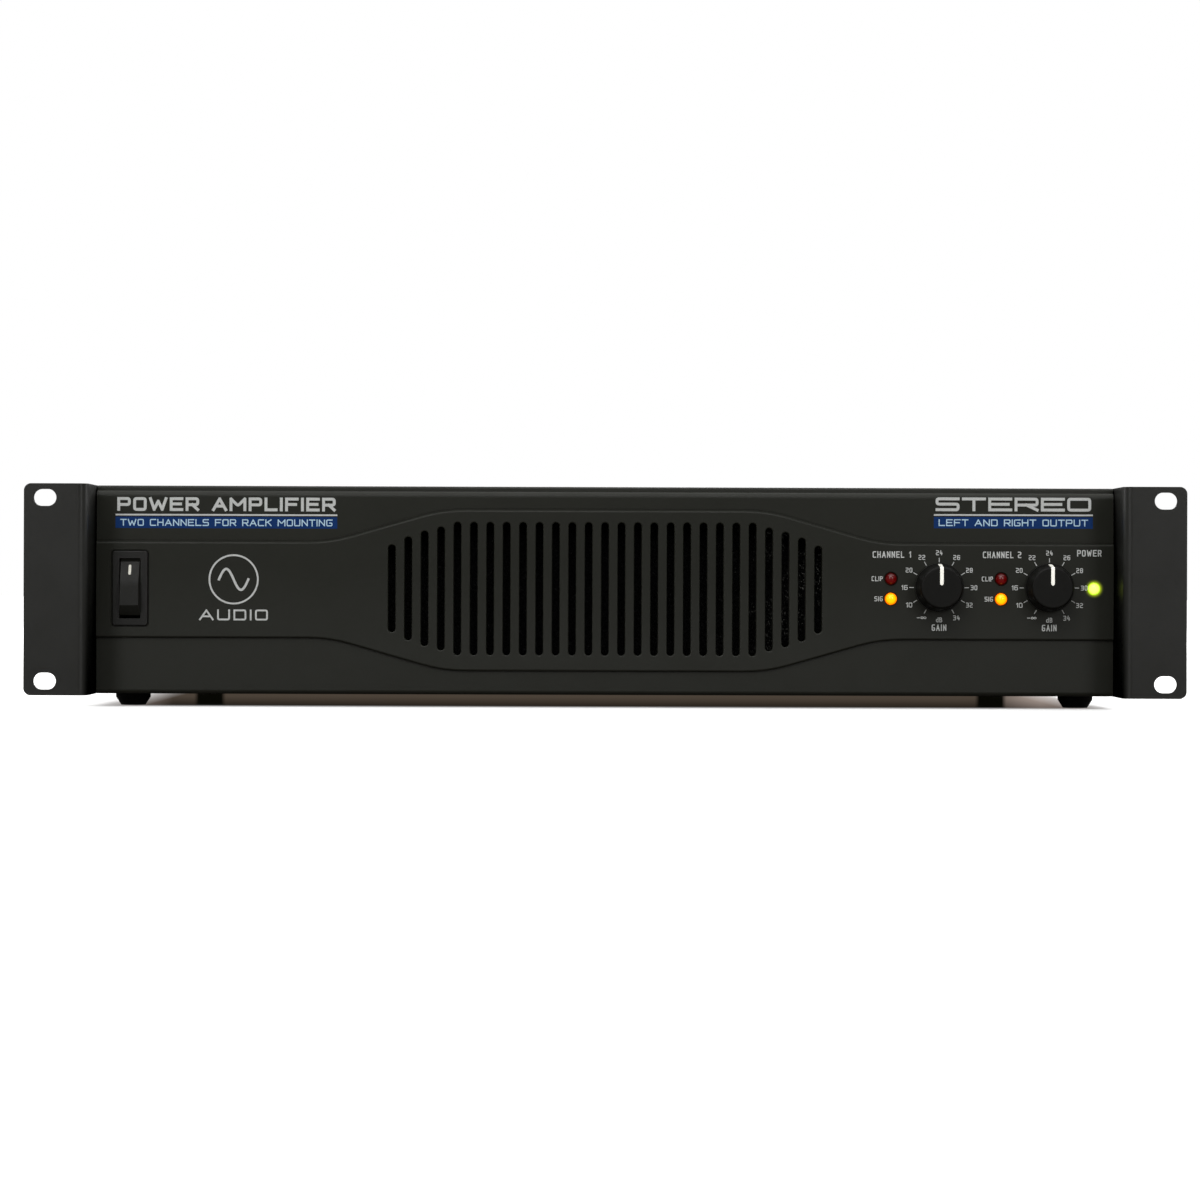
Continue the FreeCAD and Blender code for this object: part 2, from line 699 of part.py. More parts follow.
@part
def power_switch_body():
    """Bezel and housing of the rocker switch, with bearings for the rocker's pins."""
    bezel = plate(SWITCH_X, SWITCH_Z, BEZEL_W, BEZEL_H, 1.3, (BEZEL_FACE, BAND_FACE + POCKET_DEPTH))
    bezel = soften(bezel, 0.45, lambda e: on_plane(e, "y", BEZEL_FACE))
    housing = plate(
        SWITCH_X, SWITCH_Z, SWITCH_BODY_W, SWITCH_BODY_H, 0.4, (BAND_FACE + POCKET_DEPTH - 0.5, SWITCH_BODY_END)
    )
    tools = [
        plate(SWITCH_X, SWITCH_Z, ROCKER_CAVITY_W, ROCKER_CAVITY_H, 0.5, (BEZEL_FACE - 1, 46.0)),
        rod_x(ROCKER_PIVOT_Y, SWITCH_Z, (SWITCH_X - 5.6, SWITCH_X + 5.6), ROCKER_PIN_R + 0.05),
    ]
    blade_x, blade_y = (SWITCH_X - 3.2, SWITCH_X + 3.2), (SWITCH_BODY_END, SWITCH_BODY_END + 9)
    terminals = [box(blade_x, blade_y, (SWITCH_Z + z - 0.4, SWITCH_Z + z + 0.4)) for z in (-8.0, 0.0, 8.0)]
    return fuse([cut(fuse([bezel, housing]), tools), *terminals])


@part
def power_rocker():
    """The rocker: two flats that meet at a soft crest, tipped to its on position, with its top pressed in."""
    reach, half, back = ROCKER_REACH, ROCKER_HALF_FACE, ROCKER_BACK
    edge = math.sqrt(reach**2 - half**2)
    side = math.sqrt(reach**2 - back**2)
    middle = (math.atan2(half, edge) + math.atan2(side, back)) / 2
    left = SWITCH_X - ROCKER_W / 2

    def at(forward, up):
        return Vector(left, ROCKER_PIVOT_Y - forward, SWITCH_Z + up)

    def end(sign):
        return at(reach * math.cos(middle), sign * reach * math.sin(middle))

    outline = [
        Part.makeLine(at(edge, half), at(edge + ROCKER_CROWN, 0)),
        Part.makeLine(at(edge + ROCKER_CROWN, 0), at(edge, -half)),
        Part.Arc(at(edge, -half), end(-1), at(back, -side)).toShape(),
        Part.makeLine(at(back, -side), at(back, side)),
        Part.Arc(at(back, side), end(1), at(edge, half)).toShape(),
    ]
    solid = Part.Face(Part.Wire(outline)).extrude(Vector(ROCKER_W, 0, 0))
    crest = ROCKER_PIVOT_Y - edge - ROCKER_CROWN
    solid = soften(solid, ROCKER_CREST_R, lambda e: on_plane(e, "y", crest))
    # The sides lean in towards the face.
    lean_start, lean_end = ROCKER_PIVOT_Y - 4.0, ROCKER_PIVOT_Y - 14.0
    for s in (-1, 1):
        x = SWITCH_X + s * ROCKER_W / 2
        wedge = polygon([
            Vector(x, lean_start, SWITCH_Z - 20),
            Vector(x + s, lean_start, SWITCH_Z - 20),
            Vector(x + s, lean_end, SWITCH_Z - 20),
            Vector(x - s * ROCKER_TAPER, lean_end, SWITCH_Z - 20),
        ]).extrude(Vector(0, 0, 40))
        solid = solid.cut(wedge)
    web = box(
        (SWITCH_X - 2.0, SWITCH_X + 2.0),
        (ROCKER_PIVOT_Y - back - 0.5, ROCKER_PIVOT_Y + 4.0),
        (SWITCH_Z - 2.4, SWITCH_Z + 2.4),
    )
    shoulder = box(
        (left, left + ROCKER_W),
        (ROCKER_PIVOT_Y - back - 0.5, ROCKER_PIVOT_Y + 1.8),
        (SWITCH_Z - 1.8, SWITCH_Z + 1.8),
    )
    pin = rod_x(ROCKER_PIVOT_Y, SWITCH_Z, (SWITCH_X - 5.4, SWITCH_X + 5.4), ROCKER_PIN_R)
    rocker = fuse([solid, web, shoulder, pin])
    return turned(rocker, Vector(SWITCH_X, ROCKER_PIVOT_Y, SWITCH_Z), Vector(1, 0, 0), -ROCKER_TILT)


@part
def gain_pots():
    """Two rotary controls: housing behind the front wall, threaded bushing through it."""
    pots = []
    wall = FRONT_WALL + SHEET
    for x, z in gain_centres():
        housing = plate(x, z, 16.6, 17.6, 1.0, (wall, CONTROL_BOARD_Y))
        bushing = rod_y(x, z, (25.6, wall + 0.5), 4.5)
        bore = rod_y(x, z, (20.0, SHAFT_END + 0.4), SHAFT_R + SHAFT_PLAY)
        pots.append(fuse([housing, bushing]).cut(bore))
    return group(pots)


@part
def panel_nuts():
    """Nuts of the gain controls, the jack sockets and the circuit breaker."""
    nuts = [hex_nut(x, z, (FRONT_WALL - 2.2, FRONT_WALL), 11.0, 4.52) for x, z in gain_centres()]
    nuts += [hex_nut(x, LOWER_ROW_Z, (REAR_FACE, REAR_FACE + 2.4), 12.6, 4.72) for x in INPUT_X]
    nuts.append(hex_nut(BREAKER_X, BREAKER_Z, (REAR_FACE, REAR_FACE + 2.6), 14.2, 5.22))
    return group(nuts)


def gain_shaft(x):
    return rod_y(x, GAIN_Z, (KNOB_FRONT + 3.0, SHAFT_END), SHAFT_R)


@part
def gain_shaft_1():
    return gain_shaft(GAIN_X[0])


@part
def gain_shaft_2():
    return gain_shaft(GAIN_X[1])


def gain_knob(x):
    """A tapered knob with fine ribs round its side and a blind bore for the shaft."""
    y0, y1 = KNOB_FRONT, KNOB_BACK
    body = cone_y(x, GAIN_Z, (y0, y1 - 2.2), KNOB_FACE_R, KNOB_BASE_R - 0.35)
    skirt = rod_y(x, GAIN_Z, (y1 - 2.2, y1), KNOB_BASE_R)
    body = soften(body, 0.9, lambda e: on_plane(e, "y", y0))
    grooves = []
    centre, axis = Vector(x, 0, GAIN_Z), Vector(0, 1, 0)
    lean = math.degrees(math.atan2(KNOB_BASE_R - 0.35 - KNOB_FACE_R, y1 - 2.2 - y0))
    start = Vector(x, y0 + 1.4, GAIN_Z + KNOB_FACE_R + 0.30)
    groove = Part.makeCylinder(0.38, y1 - 2.2 - y0 - 1.6, start, axis)
    groove.rotate(Vector(x, y0, GAIN_Z + KNOB_FACE_R), Vector(1, 0, 0), lean)
    for k in range(KNOB_RIBS):
        grooves.append(turned(groove, centre, axis, 360.0 * (k + 0.5) / KNOB_RIBS))
    bore = rod_y(x, GAIN_Z, (y0 + 3.0, y1 + 1), SHAFT_R + 0.02)
    hollow = rod_y(x, GAIN_Z, (y1 - 3.4, y1 + 1), 7.6)
    return cut(fuse([cut(body, grooves), skirt]), [bore, hollow])


@part
def gain_knob_1():
    return gain_knob(GAIN_X[0])


@part
def gain_knob_2():
    return gain_knob(GAIN_X[1])


def led(x, z):
    """A round indicator: flange, straight body and domed tip."""
    flange = rod_y(x, z, (LED_BASE - 1.0, LED_BASE), 2.9)
    body = rod_y(x, z, (LED_TIP + LED_R, LED_BASE), LED_R)
    dome = Part.makeSphere(LED_R, Vector(x, LED_TIP + LED_R, z))
    return fuse([flange, body, dome])


@part
def clip_leds():
    return group(led(x + LED_OFFSET_X, CLIP_LED_Z) for x in GAIN_X)


@part
def signal_leds():
    return group(led(x + LED_OFFSET_X, SIGNAL_LED_Z) for x in GAIN_X)


@part
def power_led():
    return led(*POWER_LED)


@part
def led_spacers():
    """Tubes that hold the indicators off the control board."""
    return group(tube_y(x, z, (LED_BASE, CONTROL_BOARD_Y), 2.9, 1.9) for x, z in led_centres())


@part
def control_board():
    board = box((114.0, 211.5), (CONTROL_BOARD_Y, CONTROL_BOARD_Y + BOARD), (-17.0, 19.0))
    header = box((150.0, 178.0), (CONTROL_BOARD_Y + BOARD, CONTROL_BOARD_Y + BOARD + 9), (-15.0, -7.0))
    return fuse([board, header])


# Rear sockets


def socket_flange(x):
    flange = plate(x, UPPER_ROW_Z, SOCKET_W, SOCKET_H, 3.0, (REAR_FACE, REAR_FACE + 2.2))
    flange = soften(flange, 0.5, lambda e: on_plane(e, "y", REAR_FACE + 2.2))
    holes = [rod_y(sx, sz, (REAR_FACE - 1, REAR_FACE + 4), 1.7) for sx, sz in socket_screws(x, UPPER_ROW_Z)]
    return cut(flange, holes)


@part
def xlr_sockets():
    """Two female three-pin inputs: square flange, round shell, and an insert with three contact holes."""
    sockets = []
    for x in INPUT_X:
        z = UPPER_ROW_Z
        shell = rod_y(x, z, (376.0, REAR_FACE + 1.0), 11.8)
        lip = rod_y(x, z, (REAR_FACE + 1.0, REAR_FACE + 3.4), 11.2)
        mouth = tube_y(x, z, (384.0, REAR_FACE + 5), 9.7, 7.1)
        contacts = [
            rod_y(x + 3.9 * math.cos(math.radians(a)), z + 3.9 * math.sin(math.radians(a)), (388.0, 410.0), 1.25)
            for a in (30, 150, 270)
        ]
        insert_top = rod_y(x, z, (REAR_FACE + 1.2, REAR_FACE + 5), 8.0)
        latch_room = box((x - 4.3, x + 4.3), (REAR_FACE + 0.2, REAR_FACE + 6), (z + 9.5, z + 16.5))
        stem_room = box((x - 1.9, x + 1.9), (386.0, REAR_FACE + 6), (z + 9.5, z + 12.4))
        body = fuse([socket_flange(x), shell, lip])
        sockets.append(cut(body, [mouth, insert_top, latch_room, stem_room, *contacts]))
    return group(sockets)


def xlr_latch(x):
    """The release tab above an input, on a stem that reaches into the shell."""
    z = UPPER_ROW_Z
    tab = box((x - 4.0, x + 4.0), (REAR_FACE + 1.9, REAR_FACE + 4.6), (z + 10.0, z + 15.2))
    tab = soften(tab, 0.6, lambda e: on_plane(e, "y", REAR_FACE + 4.6))
    stem = box((x - 1.5, x + 1.5), (390.0, REAR_FACE + 2.4), (z + 10.0, z + 11.4))
    return fuse([tab, stem])


@part
def xlr_latch_1():
    return xlr_latch(INPUT_X[0])


@part
def xlr_latch_2():
    return xlr_latch(INPUT_X[1])


@part
def jack_sockets():
    """Two quarter-inch inputs: housing inside, threaded bushing through the panel."""
    jacks = []
    for x in INPUT_X:
        z = LOWER_ROW_Z
        housing = plate(x, z, 15.6, 15.6, 1.0, (372.0, REAR_INSIDE))
        bushing = rod_y(x, z, (REAR_INSIDE - 0.5, REAR_FACE + 4.4), 4.7)
        bore = rod_y(x, z, (376.0, REAR_FACE + 5), JACK_BORE_R)
        jacks.append(fuse([housing, bushing]).cut(bore))
    return group(jacks)


@part
def speaker_sockets():
    """Two twist-lock speaker outputs: a ring-shaped groove round a keyed core."""
    sockets = []
    for x in SPEAKER_X:
        z = UPPER_ROW_Z
        shell = rod_y(x, z, (374.0, REAR_FACE + 1.0), 11.8)
        lip = rod_y(x, z, (REAR_FACE + 1.0, REAR_FACE + 2.8), 12.2)
        groove = tube_y(x, z, (382.0, REAR_FACE + 5), 10.6, 7.4)
        core_top = rod_y(x, z, (REAR_FACE + 0.4, REAR_FACE + 5), 9.0)
        keys = [
            box((-1.2, 1.2), (384.0, REAR_FACE + 4), (10.0, 11.5)),
            box((-0.9, 0.9), (384.0, REAR_FACE + 4), (10.0, 11.5)),
        ]
        keys = [turned(k, Vector(0, 0, 0), Vector(0, 1, 0), a) for k, a in zip(keys, (0, 150))]
        for k in keys:
            k.translate(Vector(x, 0, z))
        centre = rod_y(x, z, (386.0, REAR_FACE + 5), 2.6)
        body = fuse([socket_flange(x), shell, lip])
        sockets.append(cut(body, [groove, core_top, centre, *keys]))
    return group(sockets)


@part
def post_plates():
    """One insulating plate per channel, with a bushing through the panel for each binding post."""
    plates = []
    for k, x in enumerate(SPEAKER_X):
        z = LOWER_ROW_Z
        body = plate(x, z, POST_SPACING + 15.0, 17.0, 5.0, (REAR_FACE, POST_CAP[0] - 0.6))
        body = soften(body, 0.8, lambda e: on_plane(e, "y", POST_CAP[0] - 0.6))
        posts = post_centres()[2 * k : 2 * k + 2]
        bushes = [rod_y(px, pz, (395.5, REAR_FACE + 0.5), 4.5) for px, pz in posts]
        bores = [rod_y(px, pz, (390.0, 410.0), POST_STUD_R + 0.02) for px, pz in posts]
        plates.append(cut(fuse([body, *bushes]), bores))
    return group(plates)


@part
def post_studs():
    """Hollow threaded studs with a nut inside the case; their bores take 4 mm plugs."""
    studs = []
    for x, z in post_centres():
        stud = rod_y(x, z, (382.0, POST_CAP[1] - 3.0), POST_STUD_R)
        nut = hex_nut(x, z, (392.0, 395.5), 8.0, POST_STUD_R - 0.3)
        wire_hole = rod_x(387.0, z, (x - 10, x + 10), 0.9)
        bore = rod_y(x, z, (396.0, 430.0), POST_BORE_R)
        studs.append(cut(fuse([stud, nut]), [bore, wire_hole]))
    return group(studs)


def post_cap(place):
    """A fluted cap that screws down on its stud, with a hole at its end for a plug."""
    x, z = post_centres()[place]
    y0, y1 = POST_CAP
    body = rod_y(x, z, (y0, y1), 6.6)
    body = soften(body, 0.9, lambda e: on_plane(e, "y", y1))
    flutes = []
    for a in range(0, 360, 45):
        out = (7.7 * math.cos(math.radians(a)), 7.7 * math.sin(math.radians(a)))
        flutes.append(rod_y(x + out[0], z + out[1], (y0 + 2.0, y1 + 1), 1.9))
    bore = rod_y(x, z, (y0 - 1, y1 - 2.5), POST_STUD_R + 0.07)
    mouth = rod_y(x, z, (y0, y1 + 1), 2.4)
    return cut(body, [*flutes, bore, mouth])


@part
def post_cap_red_1():
    return post_cap(0)


@part
def post_cap_black_1():
    return post_cap(1)


@part
def post_cap_red_2():
    return post_cap(2)


@part
def post_cap_black_2():
    return post_cap(3)


def dip_slot_x(way):
    return DIP_X + (way - (DIP_WAYS - 1) / 2) * DIP_PITCH


@part
def dip_switch_body():
    front = REAR_INSIDE - 0.1
    body = plate(DIP_X, DIP_Z, DIP_WAYS * DIP_PITCH + 1.4, 9.8, 0.3, (front - 6.4, front))
    slots = [
        box(
            (dip_slot_x(k) - 0.75, dip_slot_x(k) + 0.75),
            (front - 2.4, front + 1),
            (DIP_Z - DIP_TRAVEL / 2 - 1.2, DIP_Z + DIP_TRAVEL / 2 + 1.2),
        )
        for k in range(DIP_WAYS)
    ]
    return cut(body, slots)


def dip_slider(way):
    """A slider at the lower end of its slot, which is off."""
    x, front = dip_slot_x(way), REAR_INSIDE - 0.1
    low = DIP_Z - DIP_TRAVEL / 2 - 1.0
    return box((x - 0.62, x + 0.62), (front - 2.2, front + 1.1), (low, low + 2.0))


@part
def dip_sliders():
    return {f"dip_slider_{k + 1}": dip_slider(k) for k in range(DIP_WAYS)}


@part
def breaker_body():
    """Circuit breaker: housing inside, threaded bushing through the panel."""
    x, z = BREAKER_X, BREAKER_Z
    housing = plate(x, z - 4.0, 14.5, 30.0, 1.0, (366.0, REAR_INSIDE))
    bushing = rod_y(x, z, (REAR_INSIDE - 0.5, REAR_FACE + 5.0), 5.2)
    bore = rod_y(x, z, (380.0, REAR_FACE + 6), 3.7)
    return fuse([housing, bushing]).cut(bore)


@part
def breaker_button():
    button = rod_y(BREAKER_X, BREAKER_Z, (384.0, REAR_FACE + 7.5), 3.6)
    return soften(button, 0.8, lambda e: on_plane(e, "y", REAR_FACE + 7.5))


@part
def cord_grip():
    """Strain relief: a collar outside and a stepped sleeve through the panel, closed round the cord."""
    x, z = CORD_X, CORD_Z
    sleeve = rod_y(x, z, (386.0, REAR_FACE + 0.5), 7.5)
    collar = plate(x, z, 19.0, 19.0, 5.0, (REAR_FACE, REAR_FACE + 3.0))
    nose = cone_y(x, z, (REAR_FACE + 3.0, REAR_FACE + 13.0), 8.4, 5.8)
    grip = fuse([sleeve, collar, nose])
    ribs = [tube_y(x, z, (y, y + 0.9), 12.0, 6.0) for y in (404.6, 407.0, 409.4)]
    return cut(grip, [rod_y(x, z, (380.0, 420.0), CORD_R + 0.02), *ribs])


def cord_path():
    """Out of the grip, down to the floor, then along the rear of the case to the plug."""
    x, z = CORD_X, CORD_Z
    rest = FLOOR + CORD_R + 0.3
    turn_1, turn_2 = 13.0, 14.0
    half = math.sqrt(0.5)
    out = REAR_FACE + 16.0
    down_y = out + turn_1
    p = [
        Vector(x, 380.0, z),
        Vector(x, out, z),
        Vector(x, out + turn_1 * half, z - turn_1 * (1 - half)),
        Vector(x, down_y, z - turn_1),
        Vector(x + turn_2 * (1 - half), down_y, rest + turn_2 * (1 - half)),
        Vector(x + turn_2, down_y, rest),
        Vector(x + 150.0, down_y, rest),
    ]
    edges = [Part.makeLine(p[0], p[1]), Part.Arc(p[1], p[2], p[3]).toShape()]
    start = Vector(x, down_y, rest + turn_2)
    if p[3].distanceToPoint(start) > 1e-3:
        edges.append(Part.makeLine(p[3], start))
    edges += [Part.Arc(start, p[4], p[5]).toShape(), Part.makeLine(p[5], p[6])]
    return Part.Wire(edges), p[-1]


@part
def mains_cord():
    """The captive cord, shown short, with its moulded plug."""
    path, end = cord_path()
    start = path.Edges[0].Vertexes[0].Point
    ring = Part.Wire(Part.makeCircle(CORD_R, start, Vector(0, 1, 0)))
    cord = path.makePipeShell([ring], True, True, 2)
    low = FLOOR + 0.3
    body = box((end.x + 14, end.x + 42), (end.y - 13, end.y + 13), (low, low + 19))
    body = soften(body, 4.0, lambda e: e.Length > 25.5)
    neck = Part.makeCone(CORD_R + 0.8, 7.6, 16.0, Vector(end.x - 1.0, end.y, end.z), Vector(1, 0, 0))
    below = box((end.x - 5, end.x + 60), (end.y - 30, end.y + 30), (low - 30, low))
    return fuse([cord, body, neck.cut(below)])


@part
def plug_pins():
    """Two flat blades and a round earth pin."""
    _, end = cord_path()
    x = (end.x + 42.0, end.x + 59.0)
    mid = FLOOR + 0.3 + 9.5
    blades = [box(x, (end.y + s * 6.35 - 0.75, end.y + s * 6.35 + 0.75), (mid, mid + 6.4)) for s in (-1, 1)]
    return group([*blades, rod_x(end.y, mid - 4.6, (x[0], x[1] + 3), 2.4)])


# Fan


@part
def fan_frame():
    """Square frame whose four arms carry the motor boss."""
    y = (REAR_INSIDE - FAN_DEPTH, REAR_INSIDE)
    frame = plate(FAN_X, 0, FAN_SIDE, FAN_SIDE, 4.0, y).cut(rod_y(FAN_X, 0, (y[0] - 1, y[1] + 1), FAN_BORE_R))
    arm = box((-2.5, 2.5), (y[0], y[0] + 3), (10, FAN_BORE_R + 1))
    arms = [turned(arm, Vector(0, 0, 0), Vector(0, 1, 0), a) for a in (30, 120, 210, 300)]
    for a in arms:
        a.translate(Vector(FAN_X, 0, 0))
    boss = [rod_y(FAN_X, 0, (y[0], y[0] + 3), 15.0), rod_y(FAN_X, 0, (y[0], y[0] + 16), 4.0)]
    waists = [
        plate(FAN_X + sx * 40.0, sz * 40.0, 26.0, 26.0, 3.0, (y[0] + 4.5, y[1] - 4.5)).cut(
            rod_y(FAN_X, 0, y, FAN_BORE_R + 1.6)
        )
        for sx in (-1, 1)
        for sz in (-1, 1)
    ]
    frame = fuse([cut(frame, waists), *arms, *boss])
    holes = [rod_y(x, z, (y[0] - 1, y[1] + 1), 2.15) for x, z in fan_corners()]
    return cut(frame, [rod_y(FAN_X, 0, (y[0] + 2, y[1]), 1.55), *holes])


@part
def fan_rotor():
    """Cupped hub with a spindle and seven pitched blades."""
    y0, y1 = REAR_INSIDE - FAN_DEPTH + 4.5, REAR_INSIDE - 2.0
    cup = rod_y(0, 0, (y0, y1), 17.5).cut(rod_y(0, 0, (y0 - 1, y1 - 2.0), 15.8))
    cup = soften(cup, 1.2, lambda e: on_plane(e, "y", y1) and e.Length > 60)
    spindle = rod_y(0, 0, (y0 - 1.5, y1 - 1.0), 1.5)
    middle = (y0 + y1) / 2
    blade = box((-11.0, 11.0), (middle - 0.65, middle + 0.65), (16.6, 40.0))
    blade.rotate(Vector(0, middle, 0), Vector(0, 0, 1), 40.0)
    reach = rod_y(0, 0, (y0 + 0.6, y1 - 0.6), 37.4)
    blade = blade.common(reach)
    blades = [turned(blade, Vector(0, 0, 0), Vector(0, 1, 0), 360.0 * k / FAN_BLADES) for k in range(FAN_BLADES)]
    rotor = fuse([cup, spindle, *blades])
    rotor.translate(Vector(FAN_X, 0, 0))
    return rotor


@part
def fan_guard():
    """Finger guard of round wire: rings on four arms that end in screw eyes."""
    wire = 0.8
    arm_y, ring_y = REAR_FACE + wire + 0.1, REAR_FACE + wire + 1.4
    axis = Vector(0, 1, 0)
    rings = [Part.makeTorus(r, wire, Vector(FAN_X, ring_y, 0), axis) for r in (11.0, 19.0, 27.0, 35.0)]
    corner = FAN_HOLE_OFFSET * math.sqrt(2)
    parts = list(rings)
    for k in range(4):
        a = math.radians(45 + 90 * k)
        towards = Vector(math.cos(a), 0, math.sin(a))
        start = Vector(FAN_X, arm_y, 0) + towards * 10.6
        parts.append(Part.makeCylinder(wire, corner - 10.6 - 3.0, start, towards))
        parts.append(Part.makeTorus(3.0, wire, Vector(FAN_X, arm_y, 0) + towards * corner, axis))
    return fuse(parts)


# Inside the case


def ring(outer, inner, z):
    return rod_z(TORUS_X, TORUS_Y, z, outer).cut(rod_z(TORUS_X, TORUS_Y, (z[0] - 1, z[1] + 1), inner))


def torus_limits():
    low = TRAY_FLOOR + 2.0
    return low, low + TORUS_HEIGHT


@part
def transformer_core():
    low, high = torus_limits()
    return ring(TORUS_R - 9.0, TORUS_HOLE_R + 9.0, (low + 8.0, high - 8.0))


@part
def transformer_windings():
    low, high = torus_limits()
    coil = ring(TORUS_R, TORUS_HOLE_R, (low, high))
    coil = soften(coil, 9.0, lambda e: on_plane(e, "z", low) or on_plane(e, "z", high))
    return coil.cut(transformer_core())


@part
def transformer_pads():
    low, high = torus_limits()
    return group([ring(TORUS_R - 10.0, TORUS_HOLE_R - 10.0, z) for z in ((low - 2.0, low), (high, high + 2.0))])


@part
def transformer_clamp():
    """Dished washer and the long bolt through the middle of the transformer."""
    _, high = torus_limits()
    z = high + 2.0
    dish = ring(TORUS_R - 22.0, 4.2, (z, z + 2.0))
    bolt = fuse([
        rod_z(TORUS_X, TORUS_Y, (-HALF_HEIGHT, z + 2.0), 4.0),
        rod_z(TORUS_X, TORUS_Y, (z + 2.0, z + 7.0), 6.5),
    ])
    return group([dish, bolt])


def sink_bases():
    """The X limits of each heat sink's base, with the side its fins grow to."""
    inside = SINK_FIN_LENGTH + 1.0
    left = FAN_X - inside
    right = FAN_X + inside
    return [((left - SINK_BASE, left), 1), ((right, right + SINK_BASE), -1)]


@part
def heat_sinks():
    """Two finned extrusions facing each other, which make the air tunnel from the fan to the front vents."""
    sinks = []
    for (x0, x1), s in sink_bases():
        root = x1 if s > 0 else x0
        fins = [
            box(sorted((root - s * 0.5, root + s * SINK_FIN_LENGTH)), SINK_Y, (z, z + 1.6))
            for z in [-30.0 + 7.2 * k for k in range(10)]
        ]
        sinks.append(fuse([box((x0, x1), SINK_Y, (-31.0, 38.0)), *fins]))
    return group(sinks)


@part
def output_transistors():
    """Twelve power transistors, six on the outer face of each heat sink."""
    found = []
    for (x0, x1), s in sink_bases():
        face = x0 if s > 0 else x1
        for k in range(6):
            y = SINK_Y[0] + 16.0 + k * 32.0
            found.append(box(sorted((face, face - s * 5.0)), (y, y + 15.8), (-6.0, 15.0)))
    return group(found)


@part
def circuit_boards():
    """The amplifier board under the heat sinks, the supply board at the left rear, and the upright input board."""
    main = box((-62.0, 104.0), (60.0, 358.0), (BOARD_Z, BOARD_Z + BOARD))
    supply = box((-200.0, -72.0), (206.0, 352.0), (BOARD_Z, BOARD_Z + BOARD))
    inputs = box((100.0, 206.0), (364.0, 364.0 + BOARD), (-38.0, 38.0))
    return group([main, supply, inputs])


@part
def board_standoffs():
    places = [(x, y) for x in (-56.0, 98.0) for y in (70.0, 210.0, 350.0)]
    places += [(x, y) for x in (-194.0, -78.0) for y in (214.0, 344.0)]
    return group(rod_z(x, y, (TRAY_FLOOR, BOARD_Z), 3.0) for x, y in places)


@part
def filter_capacitors():
    """Supply capacitors: four large cans on the supply board and four beside the right heat sink."""
    base = BOARD_Z + BOARD
    cans = []
    for x, y, r, height in [
        *[(x, y, 17.5, 50.0) for x in (-180.0, -120.0) for y in (240.0, 300.0)],
        *[(62.0, 90.0 + 44.0 * k, 15.0, 42.0) for k in range(4)],
    ]:
        can = rod_z(x, y, (base, base + height), r)
        cans.append(soften(can, 1.5, lambda e, top=base + height: on_plane(e, "z", top)))
    return group(cans)


@part
def dust_filter():
    """Foam pad behind the vents."""
    half = (VENT_FULL_EACH_SIDE + 6) * VENT_PITCH
    wall = FRONT_WALL + SHEET
    return plate(0, VENT_Z, 2 * half, 2 * VENT_HALF_LENGTH + 14, 5, (wall, wall + 8.0))


@part
def ribbon_cable():
    """Flat cable from the input board to the control board, along the floor at the right."""
    run = box((150.0, 176.0), (62.0, 356.0), (-33.4, -32.4))
    front = box((150.0, 176.0), (61.0, 62.0), (-33.4, -12.0))
    tail = box((150.0, 176.0), (CONTROL_BOARD_Y + BOARD + 9.0, 62.0), (-12.0, -11.0))
    rear = box((150.0, 176.0), (356.0, 357.0), (-33.4, -20.0))
    last = box((150.0, 176.0), (356.0, 364.0), (-21.0, -20.0))
    return fuse([run, front, tail, rear, last])


@part
def switch_wires():
    """Insulated leads from the cord to the power switch, along the left wall."""
    wires = []
    for k in range(2):
        wires.append(rod_y(-210.5, -14.0 - 4.4 * k, (66.0, 384.0), 1.7))
    return group(wires)


def main():
    os.makedirs("parts", exist_ok=True)
    for name in os.listdir("parts"):
        if name.endswith(".step"):
            os.remove(os.path.join("parts", name))
    for name, build in PARTS.items():
        made = build()
        pieces = made if isinstance(made, dict) else {name: made}
        for node, shape in pieces.items():
            shape.exportStep(f"parts/{node}.step")
            state = "" if shape.isValid() else "  NOT VALID"
            print(f"{node}: {len(shape.Solids)} solids, {shape.Volume / 1000:.1f} cm3{state}")


main()
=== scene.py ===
import json
import math

import bmesh
import bpy
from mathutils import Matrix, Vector


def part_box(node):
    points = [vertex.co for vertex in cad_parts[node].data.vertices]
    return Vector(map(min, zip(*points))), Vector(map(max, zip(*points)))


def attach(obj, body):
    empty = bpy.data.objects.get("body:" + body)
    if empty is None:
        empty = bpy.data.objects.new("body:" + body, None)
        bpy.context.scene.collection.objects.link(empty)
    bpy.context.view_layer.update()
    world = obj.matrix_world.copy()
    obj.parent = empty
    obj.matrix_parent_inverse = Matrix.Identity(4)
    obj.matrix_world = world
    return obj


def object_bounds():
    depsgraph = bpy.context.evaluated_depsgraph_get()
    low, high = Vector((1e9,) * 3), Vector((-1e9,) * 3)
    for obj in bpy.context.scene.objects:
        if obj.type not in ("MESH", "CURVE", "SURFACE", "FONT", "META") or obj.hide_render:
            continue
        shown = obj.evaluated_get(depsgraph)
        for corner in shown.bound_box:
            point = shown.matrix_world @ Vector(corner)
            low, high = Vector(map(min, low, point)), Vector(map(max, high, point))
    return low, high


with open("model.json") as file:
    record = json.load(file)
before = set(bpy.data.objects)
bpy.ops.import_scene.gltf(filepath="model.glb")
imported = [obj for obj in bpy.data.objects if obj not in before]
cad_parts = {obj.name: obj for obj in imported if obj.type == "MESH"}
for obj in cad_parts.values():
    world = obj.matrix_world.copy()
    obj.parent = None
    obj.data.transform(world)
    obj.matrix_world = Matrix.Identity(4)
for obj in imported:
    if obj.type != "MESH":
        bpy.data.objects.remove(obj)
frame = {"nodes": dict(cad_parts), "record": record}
cad_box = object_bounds()

